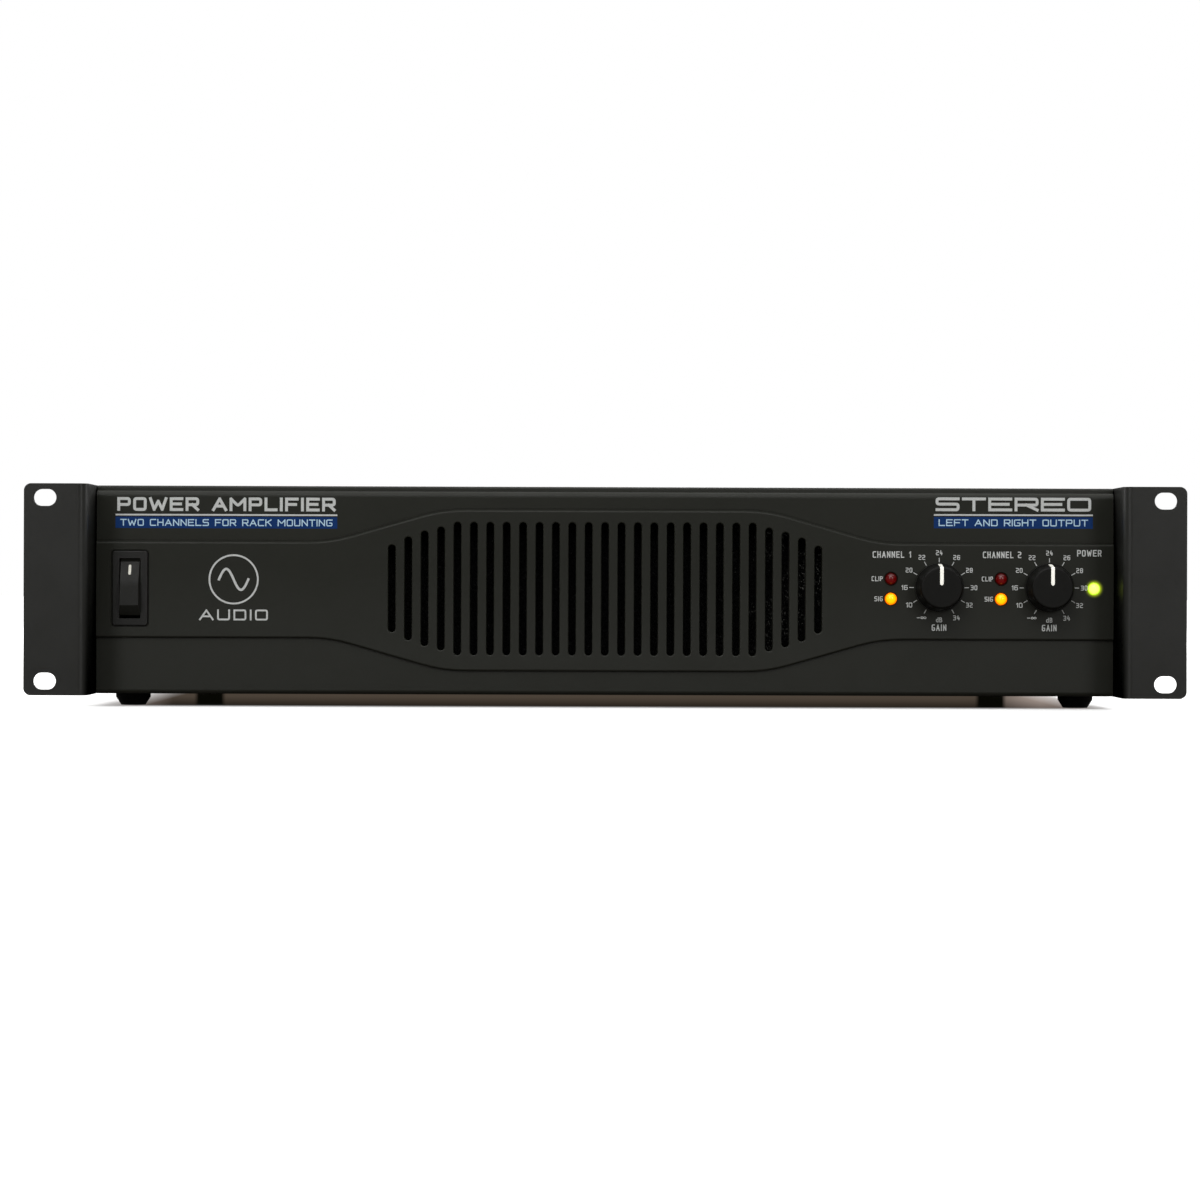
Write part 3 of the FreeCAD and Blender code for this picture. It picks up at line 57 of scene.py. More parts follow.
# Sizes are metres in the frame of the CAD model: X to the right, Y to the rear, Z up.
MM = 0.001
LED_RADIUS = 2.5 * MM
GLOW_RADIUS = 4.6 * MM

# Printed marks stand INK proud of their face and reach SINK into it.
INK = 0.03 * MM
SINK = 0.006 * MM

# The two faces that are printed on.
FRONT = 1
REAR = -1


# ---------------------------------------------------------------- materials


class Shader:
    """Builds one material. A value given to a socket is a number, a colour or another node's output."""

    def __init__(self, name):
        self.material = bpy.data.materials.new(name)
        self.material.use_nodes = True
        self.tree = self.material.node_tree
        self.tree.nodes.clear()
        self.place = self.node("TexCoord").outputs["Object"]

    def node(self, kind, inputs=None, **settings):
        """Adds a shader node. Inputs go to its sockets, settings to its own attributes."""
        made = self.tree.nodes.new("ShaderNode" + kind)
        for key, value in settings.items():
            setattr(made, key, value)
        for key, value in (inputs or {}).items():
            self.put(made.inputs[key], value)
        return made

    def put(self, socket, value):
        """Links the value to the socket if it is another socket, and sets it if it is not."""
        if isinstance(value, bpy.types.NodeSocket):
            self.tree.links.new(value, socket)
        elif socket.type == "RGBA":
            socket.default_value = (*value[:3], 1.0)
        else:
            socket.default_value = value

    def stretched(self, x, y, z):
        """The place, stretched along each axis, for grain that runs one way."""
        return self.node("Mapping", {"Vector": self.place, "Scale": (x, y, z)}).outputs["Vector"]

    def noise(self, size, detail=3.0, rough=0.55, place=None):
        """Noise with grains about size metres across."""
        inputs = {"Vector": place or self.place, "Scale": 1 / size, "Detail": detail, "Roughness": rough}
        return self.node("TexNoise", inputs).outputs["Fac"]

    def cells(self, size):
        """Distance to the nearest of many points that are about size metres apart."""
        inputs = {"Vector": self.place, "Scale": 1 / size}
        return self.node("TexVoronoi", inputs, feature="F1").outputs["Distance"]

    def span(self, value, low, high, out_low=0.0, out_high=1.0):
        """Maps low..high to out_low..out_high, without going past them."""
        inputs = {"Value": value, "From Min": low, "From Max": high, "To Min": out_low, "To Max": out_high}
        return self.node("MapRange", inputs).outputs["Result"]

    def math(self, operation, a, b=0.0):
        """The result of one sum on two numbers or sockets."""
        made = self.node("Math", operation=operation)
        self.put(made.inputs[0], a)
        self.put(made.inputs[1], b)
        return made.outputs[0]

    def mix(self, share, a, b):
        """A colour between a and b: all a where the share is 0, all b where it is 1."""
        made = self.node("Mix", data_type="RGBA")
        for k, value in ((0, share), (6, a), (7, b)):
            self.put(made.inputs[k], value)
        return made.outputs[2]

    def edges(self, radius):
        """1 on edges tighter than radius, 0 on flats."""
        soft = self.node("Bevel", {"Radius": radius}, samples=4).outputs["Normal"]
        sharp = self.node("NewGeometry").outputs["Normal"]
        dot = self.node("VectorMath", operation="DOT_PRODUCT")
        self.put(dot.inputs[0], soft)
        self.put(dot.inputs[1], sharp)
        return self.span(dot.outputs["Value"], 0.98, 0.75)

    def bump(self, height, depth, strength=1.0):
        """Surface relief about depth metres high."""
        inputs = {"Height": height, "Distance": depth, "Strength": strength}
        return self.node("Bump", inputs).outputs["Normal"]

    def finish(self, **sockets):
        """Ends the material with one surface shader. Socket names are written with underscores."""
        names = {key.replace("_", " "): value for key, value in sockets.items()}
        surface = self.node("BsdfPrincipled", names)
        output = self.node("OutputMaterial")
        self.tree.links.new(surface.outputs["BSDF"], output.inputs["Surface"])
        return self.material


def shade(colour, factor):
    """The colour made lighter or darker."""
    return tuple(min(1.0, c * factor) for c in colour[:3])


def powder_coat(name, colour, grain=0.45 * MM, gloss=0.46, depth=0.035 * MM, wear=0.5, hollows=0.0,
                top_level=0.42, lit_from=None):
    """Baked satin paint on sheet metal: fine orange peel, faint smudges, edges rubbed a little lighter.

    Faces turned sideways get painted shade, duller and darker, where something stands within the distance
    hollows.
    The upper part reflects as strongly as top_level says, the lower part as strongly as any paint: painted
    shade on the upper part.
    The paint round a lamp at lit_from gets a painted green glow.
    """
    s = Shader(name)
    patches = s.noise(60 * MM, 4.0)
    peel = s.noise(grain, 3.0, 0.6)
    specks = s.noise(grain * 0.35, 2.0, 0.7)
    rubbed = s.math("MULTIPLY", s.edges(0.5 * MM), s.span(s.noise(4 * MM, 5.0, 0.7), 0.45, 0.7))
    tone = s.mix(s.span(patches, 0.3, 0.7), shade(colour, 0.90), shade(colour, 1.10))
    tone = s.mix(s.span(specks, 0.35, 0.75), shade(colour, 0.82), tone)
    tone = s.mix(s.math("MULTIPLY", rubbed, wear), tone, shade(colour, 3.2))
    smudge = s.span(s.noise(22 * MM, 6.0, 0.62), 0.35, 0.7, gloss - 0.05, gloss + 0.07)
    rough = s.math("SUBTRACT", smudge, s.math("MULTIPLY", rubbed, 0.12))
    height = s.math("ADD", peel, s.math("MULTIPLY", specks, 0.35))
    # Painted shade: a weaker reflection on the upper part when top_level is below the lower part's level.
    up = s.node("SeparateXYZ", {"Vector": s.place}).outputs["Z"]
    level = s.span(up, -25 * MM, 10 * MM, 0.42, top_level)
    light = 0.0
    # Painted glow of the lamp on the paint round it.
    if lit_from:
        flat = s.node("VectorMath", {0: s.place, 1: (1, 0, 1)}, operation="MULTIPLY").outputs["Vector"]
        centre = (lit_from.x, 0, lit_from.z)
        away = s.node("VectorMath", {0: flat, 1: centre}, operation="DISTANCE").outputs["Value"]
        light = s.math("MULTIPLY", s.math("POWER", s.span(away, GLOW_RADIUS, LED_RADIUS), 3.5), 0.6)
    # Painted shade: sideways faces near something, as the ambient occlusion finds it, are painted darker and
    # duller.
    if hollows:
        normal = s.node("NewGeometry").outputs["Normal"]
        turn = s.node("SeparateXYZ", {"Vector": normal}).outputs["X"]
        openness = s.node("AmbientOcclusion", {"Distance": hollows}).outputs["AO"]
        nearby = s.span(openness, 0.95, 0.5)
        closed = s.math("MULTIPLY", s.span(s.math("ABSOLUTE", turn), 0.45, 0.95), nearby)
        tone = s.mix(closed, tone, shade(colour, 0.03))
        level = s.span(closed, 0.0, 1.0, level, 0.0)
    return s.finish(Base_Color=tone, Roughness=rough, Specular_IOR_Level=level,
                    Emission_Color=(0.8, 1.0, 0.03), Emission_Strength=light,
                    Normal=s.bump(height, depth, 0.8))


def moulded(name, colour, gloss=0.5, grain=0.18 * MM, depth=0.012 * MM, wear=0.25, level=0.45, fill=0.0):
    """Moulded plastic: spark-eroded grain, mottled tone and burnished corners. Fill is a painted glow that
    lifts its shadows.
    """
    s = Shader(name)
    mottle = s.noise(9 * MM, 4.0, 0.6)
    texture = s.cells(grain)
    corner = s.edges(0.25 * MM)
    tone = s.mix(s.span(mottle, 0.3, 0.7), shade(colour, 0.88), shade(colour, 1.14))
    tone = s.mix(s.math("MULTIPLY", corner, wear), tone, shade(colour, 2.2))
    rough = s.span(s.noise(5 * MM, 5.0, 0.65), 0.3, 0.72, gloss - 0.06, gloss + 0.08)
    return s.finish(Base_Color=tone, Roughness=rough, Specular_IOR_Level=level,
                    Emission_Color=tone, Emission_Strength=fill, Normal=s.bump(texture, depth, 0.7))


def plated(name, colour, gloss=0.24, dark=0.55):
    """Plated or bright metal with a fine machined grain and duller patches."""
    s = Shader(name)
    lines = s.noise(0.25 * MM, 4.0, 0.65)
    dull = s.span(s.noise(3 * MM, 5.0, 0.7), 0.42, 0.7)
    tone = s.mix(dull, colour, shade(colour, dark))
    fine = s.span(lines, 0.3, 0.7, gloss - 0.06, gloss + 0.08)
    rough = s.math("ADD", fine, s.math("MULTIPLY", dull, 0.12))
    return s.finish(Base_Color=tone, Metallic=1.0, Roughness=rough, Normal=s.bump(lines, 0.006 * MM, 0.6))


def rubber(name, colour, gloss=0.7):
    """Rubber or soft plastic with a pale bloom, fine pores and scuffed edges."""
    s = Shader(name)
    bloom = s.span(s.noise(6 * MM, 5.0, 0.7), 0.45, 0.75)
    pores = s.noise(0.3 * MM, 3.0, 0.7)
    scuff = s.math("MULTIPLY", s.edges(0.4 * MM), 0.5)
    tone = s.mix(s.math("MULTIPLY", bloom, 0.4), colour, shade(colour, 2.3))
    tone = s.mix(scuff, tone, shade(colour, 2.8))
    rough = s.span(pores, 0.3, 0.7, gloss - 0.08, gloss + 0.1)
    return s.finish(Base_Color=tone, Roughness=rough, Specular_IOR_Level=0.3,
                    Normal=s.bump(pores, 0.02 * MM, 0.8))


# The share of a lamp's brightness that falls on its surroundings.
LAMP_SPILL = 0.3


def lamp(name, lens, glow, core, strength):
    """A tinted epoxy lens that gives off light, most of it where the lens faces the viewer."""
    s = Shader(name)
    facing = s.node("LayerWeight", {"Blend": 0.35}).outputs["Facing"]
    swirl = s.noise(1.2 * MM, 3.0, 0.5)
    # Painted shade: the lens's colour darkens toward its rim, where it turns from the viewer.
    tone = s.mix(s.span(facing, 0.1, 0.75), lens, shade(lens, 0.35))
    inner = s.math("ADD", facing, s.span(swirl, 0.3, 0.7, -0.06, 0.06))
    light = s.mix(s.span(inner, 0.12, 0.6), core, glow)
    seen = s.node("LightPath").outputs["Is Camera Ray"]
    power = s.span(seen, 0, 1, LAMP_SPILL * strength, strength)
    return s.finish(Base_Color=tone, Roughness=s.span(swirl, 0.3, 0.7, 0.06, 0.14), IOR=1.55,
                    Emission_Color=light, Emission_Strength=power,
                    Normal=s.bump(swirl, 0.01 * MM, 0.3))


def ink(name, colour, gloss=0.45, level=0.4, glow=0.0):
    """Screen-printed ink: a little thin in places. Glow adds painted light that makes it brighter than its
    lighting gives.
    """
    s = Shader(name)
    thin = s.span(s.noise(0.5 * MM, 3.0, 0.7), 0.3, 0.6)
    tone = s.mix(thin, shade(colour, 0.78), colour)
    height = s.noise(0.2 * MM, 2.0)
    return s.finish(Base_Color=tone, Roughness=s.span(height, 0.3, 0.7, gloss - 0.05, gloss + 0.1),
                    Emission_Color=tone, Emission_Strength=glow, Specular_IOR_Level=level,
                    Normal=s.bump(height, 0.01 * MM, 0.5))


def extruded(name, colour):
    """Extruded aluminium, with die lines along Y."""
    s = Shader(name)
    lines = s.noise(0.5 * MM, 4.0, 0.7, s.stretched(1, 0.02, 1))
    stain = s.span(s.noise(25 * MM, 5.0, 0.6), 0.35, 0.7)
    tone = s.mix(stain, colour, shade(colour, 0.75))
    tone = s.mix(s.span(lines, 0.4, 0.65, 0, 0.35), tone, shade(colour, 0.6))
    return s.finish(Base_Color=tone, Metallic=1.0, Roughness=s.span(lines, 0.3, 0.7, 0.28, 0.42),
                    Normal=s.bump(lines, 0.02 * MM, 0.6))


def circuit_board(name):
    """Green solder mask over copper tracks, with bright pads."""
    s = Shader(name)
    tracks = s.node("TexBrick", {"Vector": s.place, "Scale": 1 / (9 * MM), "Mortar Size": 0.035,
                                 "Color1": (0, 0, 0), "Color2": (0.25, 0.25, 0.25), "Mortar": (1, 1, 1)})
    pads = s.span(s.cells(4 * MM), 0.12, 0.10)
    mask = s.mix(s.span(s.noise(30 * MM, 4.0), 0.3, 0.7), (0.010, 0.085, 0.032), (0.014, 0.115, 0.045))
    tone = s.mix(tracks.outputs["Color"], mask, (0.035, 0.20, 0.075))
    tone = s.mix(pads, tone, (0.62, 0.60, 0.55))
    height = s.math("ADD", tracks.outputs["Fac"], pads)
    return s.finish(Base_Color=tone, Metallic=s.math("MULTIPLY", pads, 0.9),
                    Roughness=s.span(s.noise(3 * MM, 4.0), 0.3, 0.7, 0.22, 0.36),
                    Normal=s.bump(height, 0.04 * MM, 0.6))


def windings(name, centre):
    """Turns of varnished copper wire under clear tape, running round a ring about a vertical axis."""
    s = Shader(name)
    moved = s.node("Mapping", {"Vector": s.place, "Location": (-centre.x, -centre.y, 0)}).outputs["Vector"]
    parts = s.node("SeparateXYZ", {"Vector": moved})
    angle = s.math("ARCTAN2", parts.outputs["Y"], parts.outputs["X"])
    turns = s.math("SINE", s.math("MULTIPLY", angle, 150.0))
    sheen = s.noise(12 * MM, 4.0, 0.6)
    # Painted shade: the wire is darker between its turns.
    tone = s.mix(s.span(turns, -0.8, 0.8), (0.20, 0.075, 0.02), (0.62, 0.30, 0.09))
    tone = s.mix(s.span(sheen, 0.35, 0.7, 0, 0.5), tone, (0.42, 0.30, 0.12))
    return s.finish(Base_Color=tone, Metallic=0.55, Roughness=s.span(sheen, 0.3, 0.7, 0.22, 0.40),
                    Coat_Weight=0.6, Coat_Roughness=0.12, Normal=s.bump(turns, 0.25 * MM, 0.7))


def wound_strip(name, centre):
    """Edges of the wound steel strip of a ring core."""
    s = Shader(name)
    moved = s.node("Mapping", {"Vector": s.place, "Location": (-centre.x, -centre.y, 0)}).outputs["Vector"]
    rings = s.node("TexWave", {"Vector": moved, "Scale": 1 / (2.5 * MM), "Distortion": 0.4, "Detail": 2.0},
                   wave_type="RINGS", rings_direction="Z")
    tone = s.mix(rings.outputs["Fac"], (0.16, 0.15, 0.14), (0.36, 0.35, 0.33))
    return s.finish(Base_Color=tone, Metallic=1.0, Roughness=s.span(rings.outputs["Fac"], 0, 1, 0.35, 0.5),
                    Normal=s.bump(rings.outputs["Fac"], 0.05 * MM))


def foam(name):
    """Open-celled black foam with painted shade in its cells. A few cell walls glint, and painted glints lie
    mostly toward the right.
    """
    s = Shader(name)
    cell = s.cells(1.1 * MM)
    walls = s.node("TexVoronoi", {"Vector": s.place, "Scale": 1 / (1.1 * MM)}, feature="DISTANCE_TO_EDGE")
    strand = s.span(walls.outputs["Distance"], 0.16, 0.02)
    glint = s.math("MULTIPLY", strand, s.span(s.noise(2.2 * MM, 2.0, 0.8), 0.60, 0.70))
    # Painted shade: the cells are darker than their strands.
    tone = s.mix(strand, (0.0012, 0.0012, 0.0012), (0.010, 0.010, 0.010))
    # Painted glints that give off light, toward the right.
    x = s.node("SeparateXYZ", {"Vector": s.place}).outputs["X"]
    lit = s.math("MULTIPLY", s.span(x, 0.045, 0.09), s.span(s.noise(14 * MM, 3.0, 0.6), 0.47, 0.60))
    spark = s.math("MULTIPLY", lit, s.span(s.noise(0.8 * MM, 2.0, 0.8), 0.60, 0.72))
    return s.finish(Base_Color=tone, Roughness=s.span(glint, 0, 1, 0.85, 0.25),
                    Specular_IOR_Level=s.span(glint, 0, 1, 0.1, 0.5),
                    Emission_Color=(0.9, 0.9, 0.82), Emission_Strength=s.span(spark, 0, 1, 0, 0.09),
                    Normal=s.bump(s.math("SUBTRACT", strand, cell), 0.5 * MM, 1.0))


def sleeve(name, colour):
    """Shrink sleeve of a capacitor, glossy, with a paler stripe now and then."""
    s = Shader(name)
    ripple = s.noise(4 * MM, 3.0, 0.5, s.stretched(1, 1, 0.3))
    tone = s.mix(s.span(ripple, 0.35, 0.7), shade(colour, 0.85), shade(colour, 1.25))
    return s.finish(Base_Color=tone, Roughness=s.span(ripple, 0.3, 0.7, 0.2, 0.32),
                    Coat_Weight=0.3, Normal=s.bump(ripple, 0.05 * MM, 0.5))


def ribbed(name, colour, pitch):
    """Flat cable: parallel cores side by side along X."""
    s = Shader(name)
    x = s.node("SeparateXYZ", {"Vector": s.place}).outputs["X"]
    core = s.math("SINE", s.math("MULTIPLY", x, 2 * math.pi / pitch))
    dust = s.noise(3 * MM, 4.0, 0.6)
    # Painted shade: the grooves between the cores are darker.
    tone = s.mix(s.span(core, -1.0, -0.2), shade(colour, 0.55), colour)
    tone = s.mix(s.span(dust, 0.4, 0.75, 0, 0.4), tone, shade(colour, 0.8))
    return s.finish(Base_Color=tone, Roughness=s.span(dust, 0.3, 0.7, 0.35, 0.5),
                    Normal=s.bump(core, 0.2 * MM, 0.8))


def middle(node):
    """The centre of the box round a node."""
    low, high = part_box(node)
    return (low + high) / 2


CHARCOAL = (0.0141, 0.0151, 0.0096)
BLACK = (0.0085, 0.0085, 0.0080)

FINISHES = {
    "case_paint": powder_coat("case_paint", CHARCOAL),
    # The ears get painted shade on their legs, near the fascia.
    "ear_paint": powder_coat("ear_paint", (0.0190, 0.0194, 0.0172), gloss=0.36, depth=0.018 * MM,
                             hollows=0.06),
    # The fascia: painted shade on its upper part, and a painted green glow round the power lamp.
    "fascia_coat": powder_coat("fascia_coat", CHARCOAL, grain=0.30 * MM, depth=0.02 * MM, gloss=0.48,
                               top_level=0.30, lit_from=middle("power_led")),
    "zinc_screw": plated("zinc_screw", (0.62, 0.60, 0.54), gloss=0.30),
    "black_screw": powder_coat("black_screw", BLACK, grain=0.2 * MM, gloss=0.34, depth=0.006 * MM,
                               wear=0.8),
    "foot_rubber": rubber("foot_rubber", (0.010, 0.010, 0.010)),
    "switch_plastic": moulded("switch_plastic", (0.0090, 0.0090, 0.0078), gloss=0.48, level=0.38),
    # The rocker glows a little: painted light that lifts its shadows.
    "rocker_plastic": moulded("rocker_plastic", (0.0046, 0.0046, 0.0038), gloss=0.46, depth=0.006 * MM,
                              level=0.23, fill=0.9),
    "knob_plastic": moulded("knob_plastic", (0.0038, 0.0038, 0.0028), gloss=0.48, grain=0.12 * MM,
                            level=0.21),
    "bright_metal": plated("bright_metal", (0.66, 0.65, 0.62)),
    # The clip lamps are off: their weak red glow is painted light.
    "led_red": lamp("led_red", (0.007, 0.0, 0.0), (0.019, 0.0, 0.0), (0.095, 0.0, 0.0), 1.0),
    "led_yellow": lamp("led_yellow", (0.9, 0.4, 0.0), (1.0, 0.10, 0.0), (1.0, 0.52, 0.0), 1.1),
    "led_green": lamp("led_green", (0.5, 0.8, 0.1), (0.34, 0.80, 0.0), (1.0, 1.0, 0.18), 1.3),
    "spacer_nylon": moulded("spacer_nylon", (0.62, 0.58, 0.48), gloss=0.5),
    "board_green": circuit_board("board_green"),
    "socket_black": moulded("socket_black", (0.0095, 0.0095, 0.0100), gloss=0.42),
    "cap_red": moulded("cap_red", (0.42, 0.010, 0.010), gloss=0.26, depth=0.006 * MM, wear=0.15),
    "cap_black": moulded("cap_black", (0.009, 0.009, 0.009), gloss=0.26, depth=0.006 * MM),
    "dip_blue": moulded("dip_blue", (0.012, 0.075, 0.36), gloss=0.4),
    "dip_white": moulded("dip_white", (0.80, 0.79, 0.74), gloss=0.4),
    "gold_contact": plated("gold_contact", (0.83, 0.58, 0.22), gloss=0.2, dark=0.75),
    "cord_pvc": rubber("cord_pvc", (0.011, 0.011, 0.011), gloss=0.45),
    "fan_black": moulded("fan_black", (0.010, 0.010, 0.011), gloss=0.42),
    "guard_wire": plated("guard_wire", (0.60, 0.60, 0.58), gloss=0.18),
    "core_steel": wound_strip("core_steel", middle("transformer_core")),
    "winding_tape": windings("winding_tape", middle("transformer_windings")),
    "pad_rubber": rubber("pad_rubber", (0.014, 0.014, 0.014)),
    "sink_aluminium": extruded("sink_aluminium", (0.60, 0.61, 0.62)),
    "transistor_black": moulded("transistor_black", (0.012, 0.012, 0.012), gloss=0.5),
    "can_sleeve": sleeve("can_sleeve", (0.008, 0.012, 0.05)),
    "filter_foam": foam("filter_foam"),
    "ribbon_grey": ribbed("ribbon_grey", (0.30, 0.30, 0.29), 1.27 * MM),
    "wire_blue": rubber("wire_blue", (0.012, 0.05, 0.28), gloss=0.4),
}
SILVER_INK = ink("silver_ink", (0.72, 0.74, 0.725))
PALE_INK = ink("pale_ink", (0.59, 0.83, 1.0))
BLUE_INK = ink("blue_ink", (0.0005, 0.036, 0.175), level=0.2)
WHITE_MARK = ink("white_mark", (0.95, 0.93, 0.82), gloss=0.5)
# The pointers glow: painted light.
POINTER_WHITE = ink("pointer_white", (0.95, 0.94, 0.86), gloss=0.5, glow=0.5)

for subpart in frame["record"]["subparts"]:
    for material_slot in frame["nodes"][subpart["node"]].material_slots:
        material_slot.material = FINISHES[subpart["material_slot"]]


# ---------------------------------------------------------------- printed marks


class Sheet:
    """A face that marks are printed on: the front looks along -Y, the rear along +Y."""

    def __init__(self, side, y):
        self.side = side
        self.y = y

    def at(self, x, z, lift):
        """The point (x, z) of the face, raised from it by lift."""
        return Vector((x, self.y - self.side * lift, z))


def slab(bm, outline, sheet, lift=INK):
    """A thin closed plate of ink. The outline is a list of (x, z)."""
    top = [bm.verts.new(sheet.at(x, z, lift)) for x, z in outline]
    low = [bm.verts.new(sheet.at(x, z, -SINK)) for x, z in outline]
    bm.faces.new(top)
    bm.faces.new(low[::-1])
    for k in range(len(outline)):
        j = (k + 1) % len(outline)
        bm.faces.new((top[j], top[k], low[k], low[j]))


def directions(points, k, closed):
    """Unit vectors into and out of a corner of a line."""
    count = len(points)
    here = Vector(points[k])
    into = here - Vector(points[k - 1]) if k or closed else None
    out = Vector(points[(k + 1) % count]) - here if k < count - 1 or closed else None
    into = into or out
    out = out or into
    return into.normalized(), out.normalized()


def corner(point, into, out, side, half):
    """The offset of a corner on one side: a mitre, or two points where a mitre would run too far out."""
    here = Vector(point)
    turn = into.x * out.y - into.y * out.x
    half_turn = into.angle(out) / 2
    reach = half * math.tan(half_turn)
    outside = turn * side < 0
    if outside and half_turn > math.radians(52):
        reach = 0.6 * half
        ends = ((into, 1), (out, -1))
        return [here + side * half * Vector((-d.y, d.x)) + way * reach * d for d, way in ends]
    across = side * Vector((-into.y, into.x)) * half
    return [here + across + into * (reach if outside else -reach)]


def stroke(bm, points, width, sheet, lift=INK, closed=False):
    """A line of even width through (x, z) points. Open ends are square and run on by half a width."""
    half = width / 2
    if not closed:
        first = directions(points, 0, False)[1]
        last = directions(points, len(points) - 1, False)[0]
        start = tuple(Vector(points[0]) - first * half)
        end = tuple(Vector(points[-1]) + last * half)
        points = [start, *points[1:-1], end]
    sides = {1: [], -1: []}
    for k, point in enumerate(points):
        into, out = directions(points, k, closed)
        for side, offsets in sides.items():
            offsets += corner(point, into, out, side, half)
    if not closed:
        slab(bm, [tuple(v) for v in (*sides[1], *reversed(sides[-1]))], sheet, lift)
        return
    rows = []
    for up in (lift, -SINK):
        for side in (1, -1):
            rows.append([bm.verts.new(sheet.at(*v, up)) for v in sides[side]])
    outer_top, inner_top, outer_low, inner_low = rows
    for k in range(len(outer_top)):
        j = (k + 1) % len(outer_top)
        bm.faces.new((outer_top[k], outer_top[j], inner_top[j], inner_top[k]))
        bm.faces.new((outer_low[j], outer_low[k], inner_low[k], inner_low[j]))
        bm.faces.new((outer_top[j], outer_top[k], outer_low[k], outer_low[j]))
        bm.faces.new((inner_top[k], inner_top[j], inner_low[j], inner_low[k]))


def ring_points(x, z, radius, count):
    """Points round a circle."""
    turns = [2 * math.pi * k / count for k in range(count)]
    return [(x + radius * math.cos(a), z + radius * math.sin(a)) for a in turns]


def rectangle(x, z, width, height):
    """The corners of an upright rectangle centred on (x, z)."""
    w, h = width / 2, height / 2
    return [(x - w, z - h), (x + w, z - h), (x + w, z + h), (x - w, z + h)]


# A plain squared alphabet. Each letter is drawn with lines on a grid six units high, and most letters are
# four units wide. Lines are parted by semicolons, and a line that starts with "o" is closed.
ALPHABET = {
    "A": "0,0 2.3,6 4.6,0; 0.9,2 3.7,2",
    "B": "0,0 0,6; 0,6 3.6,6 3.6,3.1 0,3.1; 0,3.1 4,3.1 4,0 0,0",
    "C": "4,6 0,6 0,0 4,0",
    "D": "0,0 0,6; 0,6 4,6 4,0 0,0",
    "E": "0,0 0,6; 0,6 4,6; 0,3.1 3.5,3.1; 0,0 4,0",
    "F": "0,0 0,6; 0,6 4,6; 0,3 3.4,3",
    "G": "4,6 0,6 0,0 4,0 4,2.9 2.3,2.9",
    "H": "0,0 0,6; 4,0 4,6; 0,3.1 4,3.1",
    "I": "0,0 0,6",
    "K": "0,0 0,6; 4,6 0.3,2.9; 1.5,3.7 4,0",
    "L": "0,0 0,6; 0,0 3.8,0",
    "M": "0,0 0,6 2.6,2.2 5.2,6 5.2,0",
    "N": "0,0 0,6 4,0 4,6",
    "O": "o 0,0 0,6 4,6 4,0",
    "P": "0,0 0,6; 0,6 4,6 4,2.7 0,2.7",
    "R": "0,0 0,6; 0,6 4,6 4,2.7 0,2.7; 2,2.7 4,0",
    "S": "4,6 0,6 0,3.1 4,3.1 4,0 0,0",
    "T": "2,0 2,6; 0,6 4,6",
    "U": "0,6 0,0 4,0 4,6",
    "V": "0,6 2.1,0 4.2,6",
    "W": "0,6 1.4,0 2.9,4.6 4.4,0 5.8,6",
    "d": "3.6,0 3.6,6; 3.6,3.8 0,3.8 0,0 3.6,0",
    "0": "o 0,0 0,6 4,6 4,0",
    "1": "0.6,4.9 2,6; 2,6 2,0",
    "2": "0,6 4,6 4,3.1 0,3.1 0,0 4,0",
    "3": "0,6 4,6 4,0 0,0; 0.9,3.1 4,3.1",
    "4": "1.3,6 0,1.8 4,1.8; 3,4 3,0",
    "5": "4,6 0,6 0,3.4 4,3.4 4,0 0,0",
    "6": "4,6 0,6 0,0 4,0 4,3.4; 4,3.4 0,3.4",
    "8": "o 0,0 0,6 4,6 4,0; 0,3.1 4,3.1",
    "-": "0,3 2.4,3",
    "+": "0,3 4,3; 2,1 2,5",
    "∞": "o 0,1.8 0,4.2 2.6,4.2 2.6,1.8; o 3.4,1.8 3.4,4.2 6,4.2 6,1.8; 2.6,3 3.4,3",
    " ": "0,9 2,9",
}


def drawn(letter):
    """The lines of a letter as (closed, points), and the letter's width, in grid units."""
    lines = []
    for text in ALPHABET[letter].split(";"):
        words = text.split()
        closed = words[0] == "o"
        points = [tuple(float(v) for v in word.split(",")) for word in words[closed:]]
        lines.append((closed, points))
    across = [x for _, points in lines for x, _ in points]
    return lines, max(across) - (0 if letter == "1" else min(across))


def softened(points, radius, closed):
    """Rounds the square corners of a line; slanting corners stay sharp."""
    made = []
    for k, point in enumerate(points):
        inside = closed or 0 < k < len(points) - 1
        into, out = directions(points, k, closed)
        if not inside or abs(into.dot(out)) > 0.3:
            made.append(point)
            continue
        here = Vector(point)
        sides = (Vector(points[k - 1]), Vector(points[(k + 1) % len(points)]))
        room = min(radius, *(0.45 * (side - here).length for side in sides))
        for step in range(5):
            t = step / 4
            a = here - into * room * (1 - t)
            b = here + out * room * t
            made.append(tuple(a.lerp(b, t)))
    return made


def write(bm, words, x, z, cap, width, sheet, weight=0.16, gap=0.17):
    """Prints words centred on (x, z). The whole line is width wide and its capitals are cap high."""
    line = weight * cap
    up = (cap - line) / 6
    letters = [drawn(letter) for letter in words]
    spare = width - len(words) * line - (len(words) - 1) * gap * cap
    along = spare / sum(wide for _, wide in letters)
    left = -width / 2 + line / 2
    base = z - cap / 2 + line / 2
    for letter, (lines, wide) in zip(words, letters):
        for k, (closed, grid) in enumerate(lines):
            if letter == " ":
                continue
            points = [(sheet.side * (left + gx * along), gz * up) for gx, gz in grid]
            points = softened(points, max(0.55 * line, 0.15 * cap), closed)
            points = [(x + px, base + pz) for px, pz in points]
            stroke(bm, points, line, sheet, INK * (1 + 0.12 * k), closed)
        left += wide * along + line + gap * cap


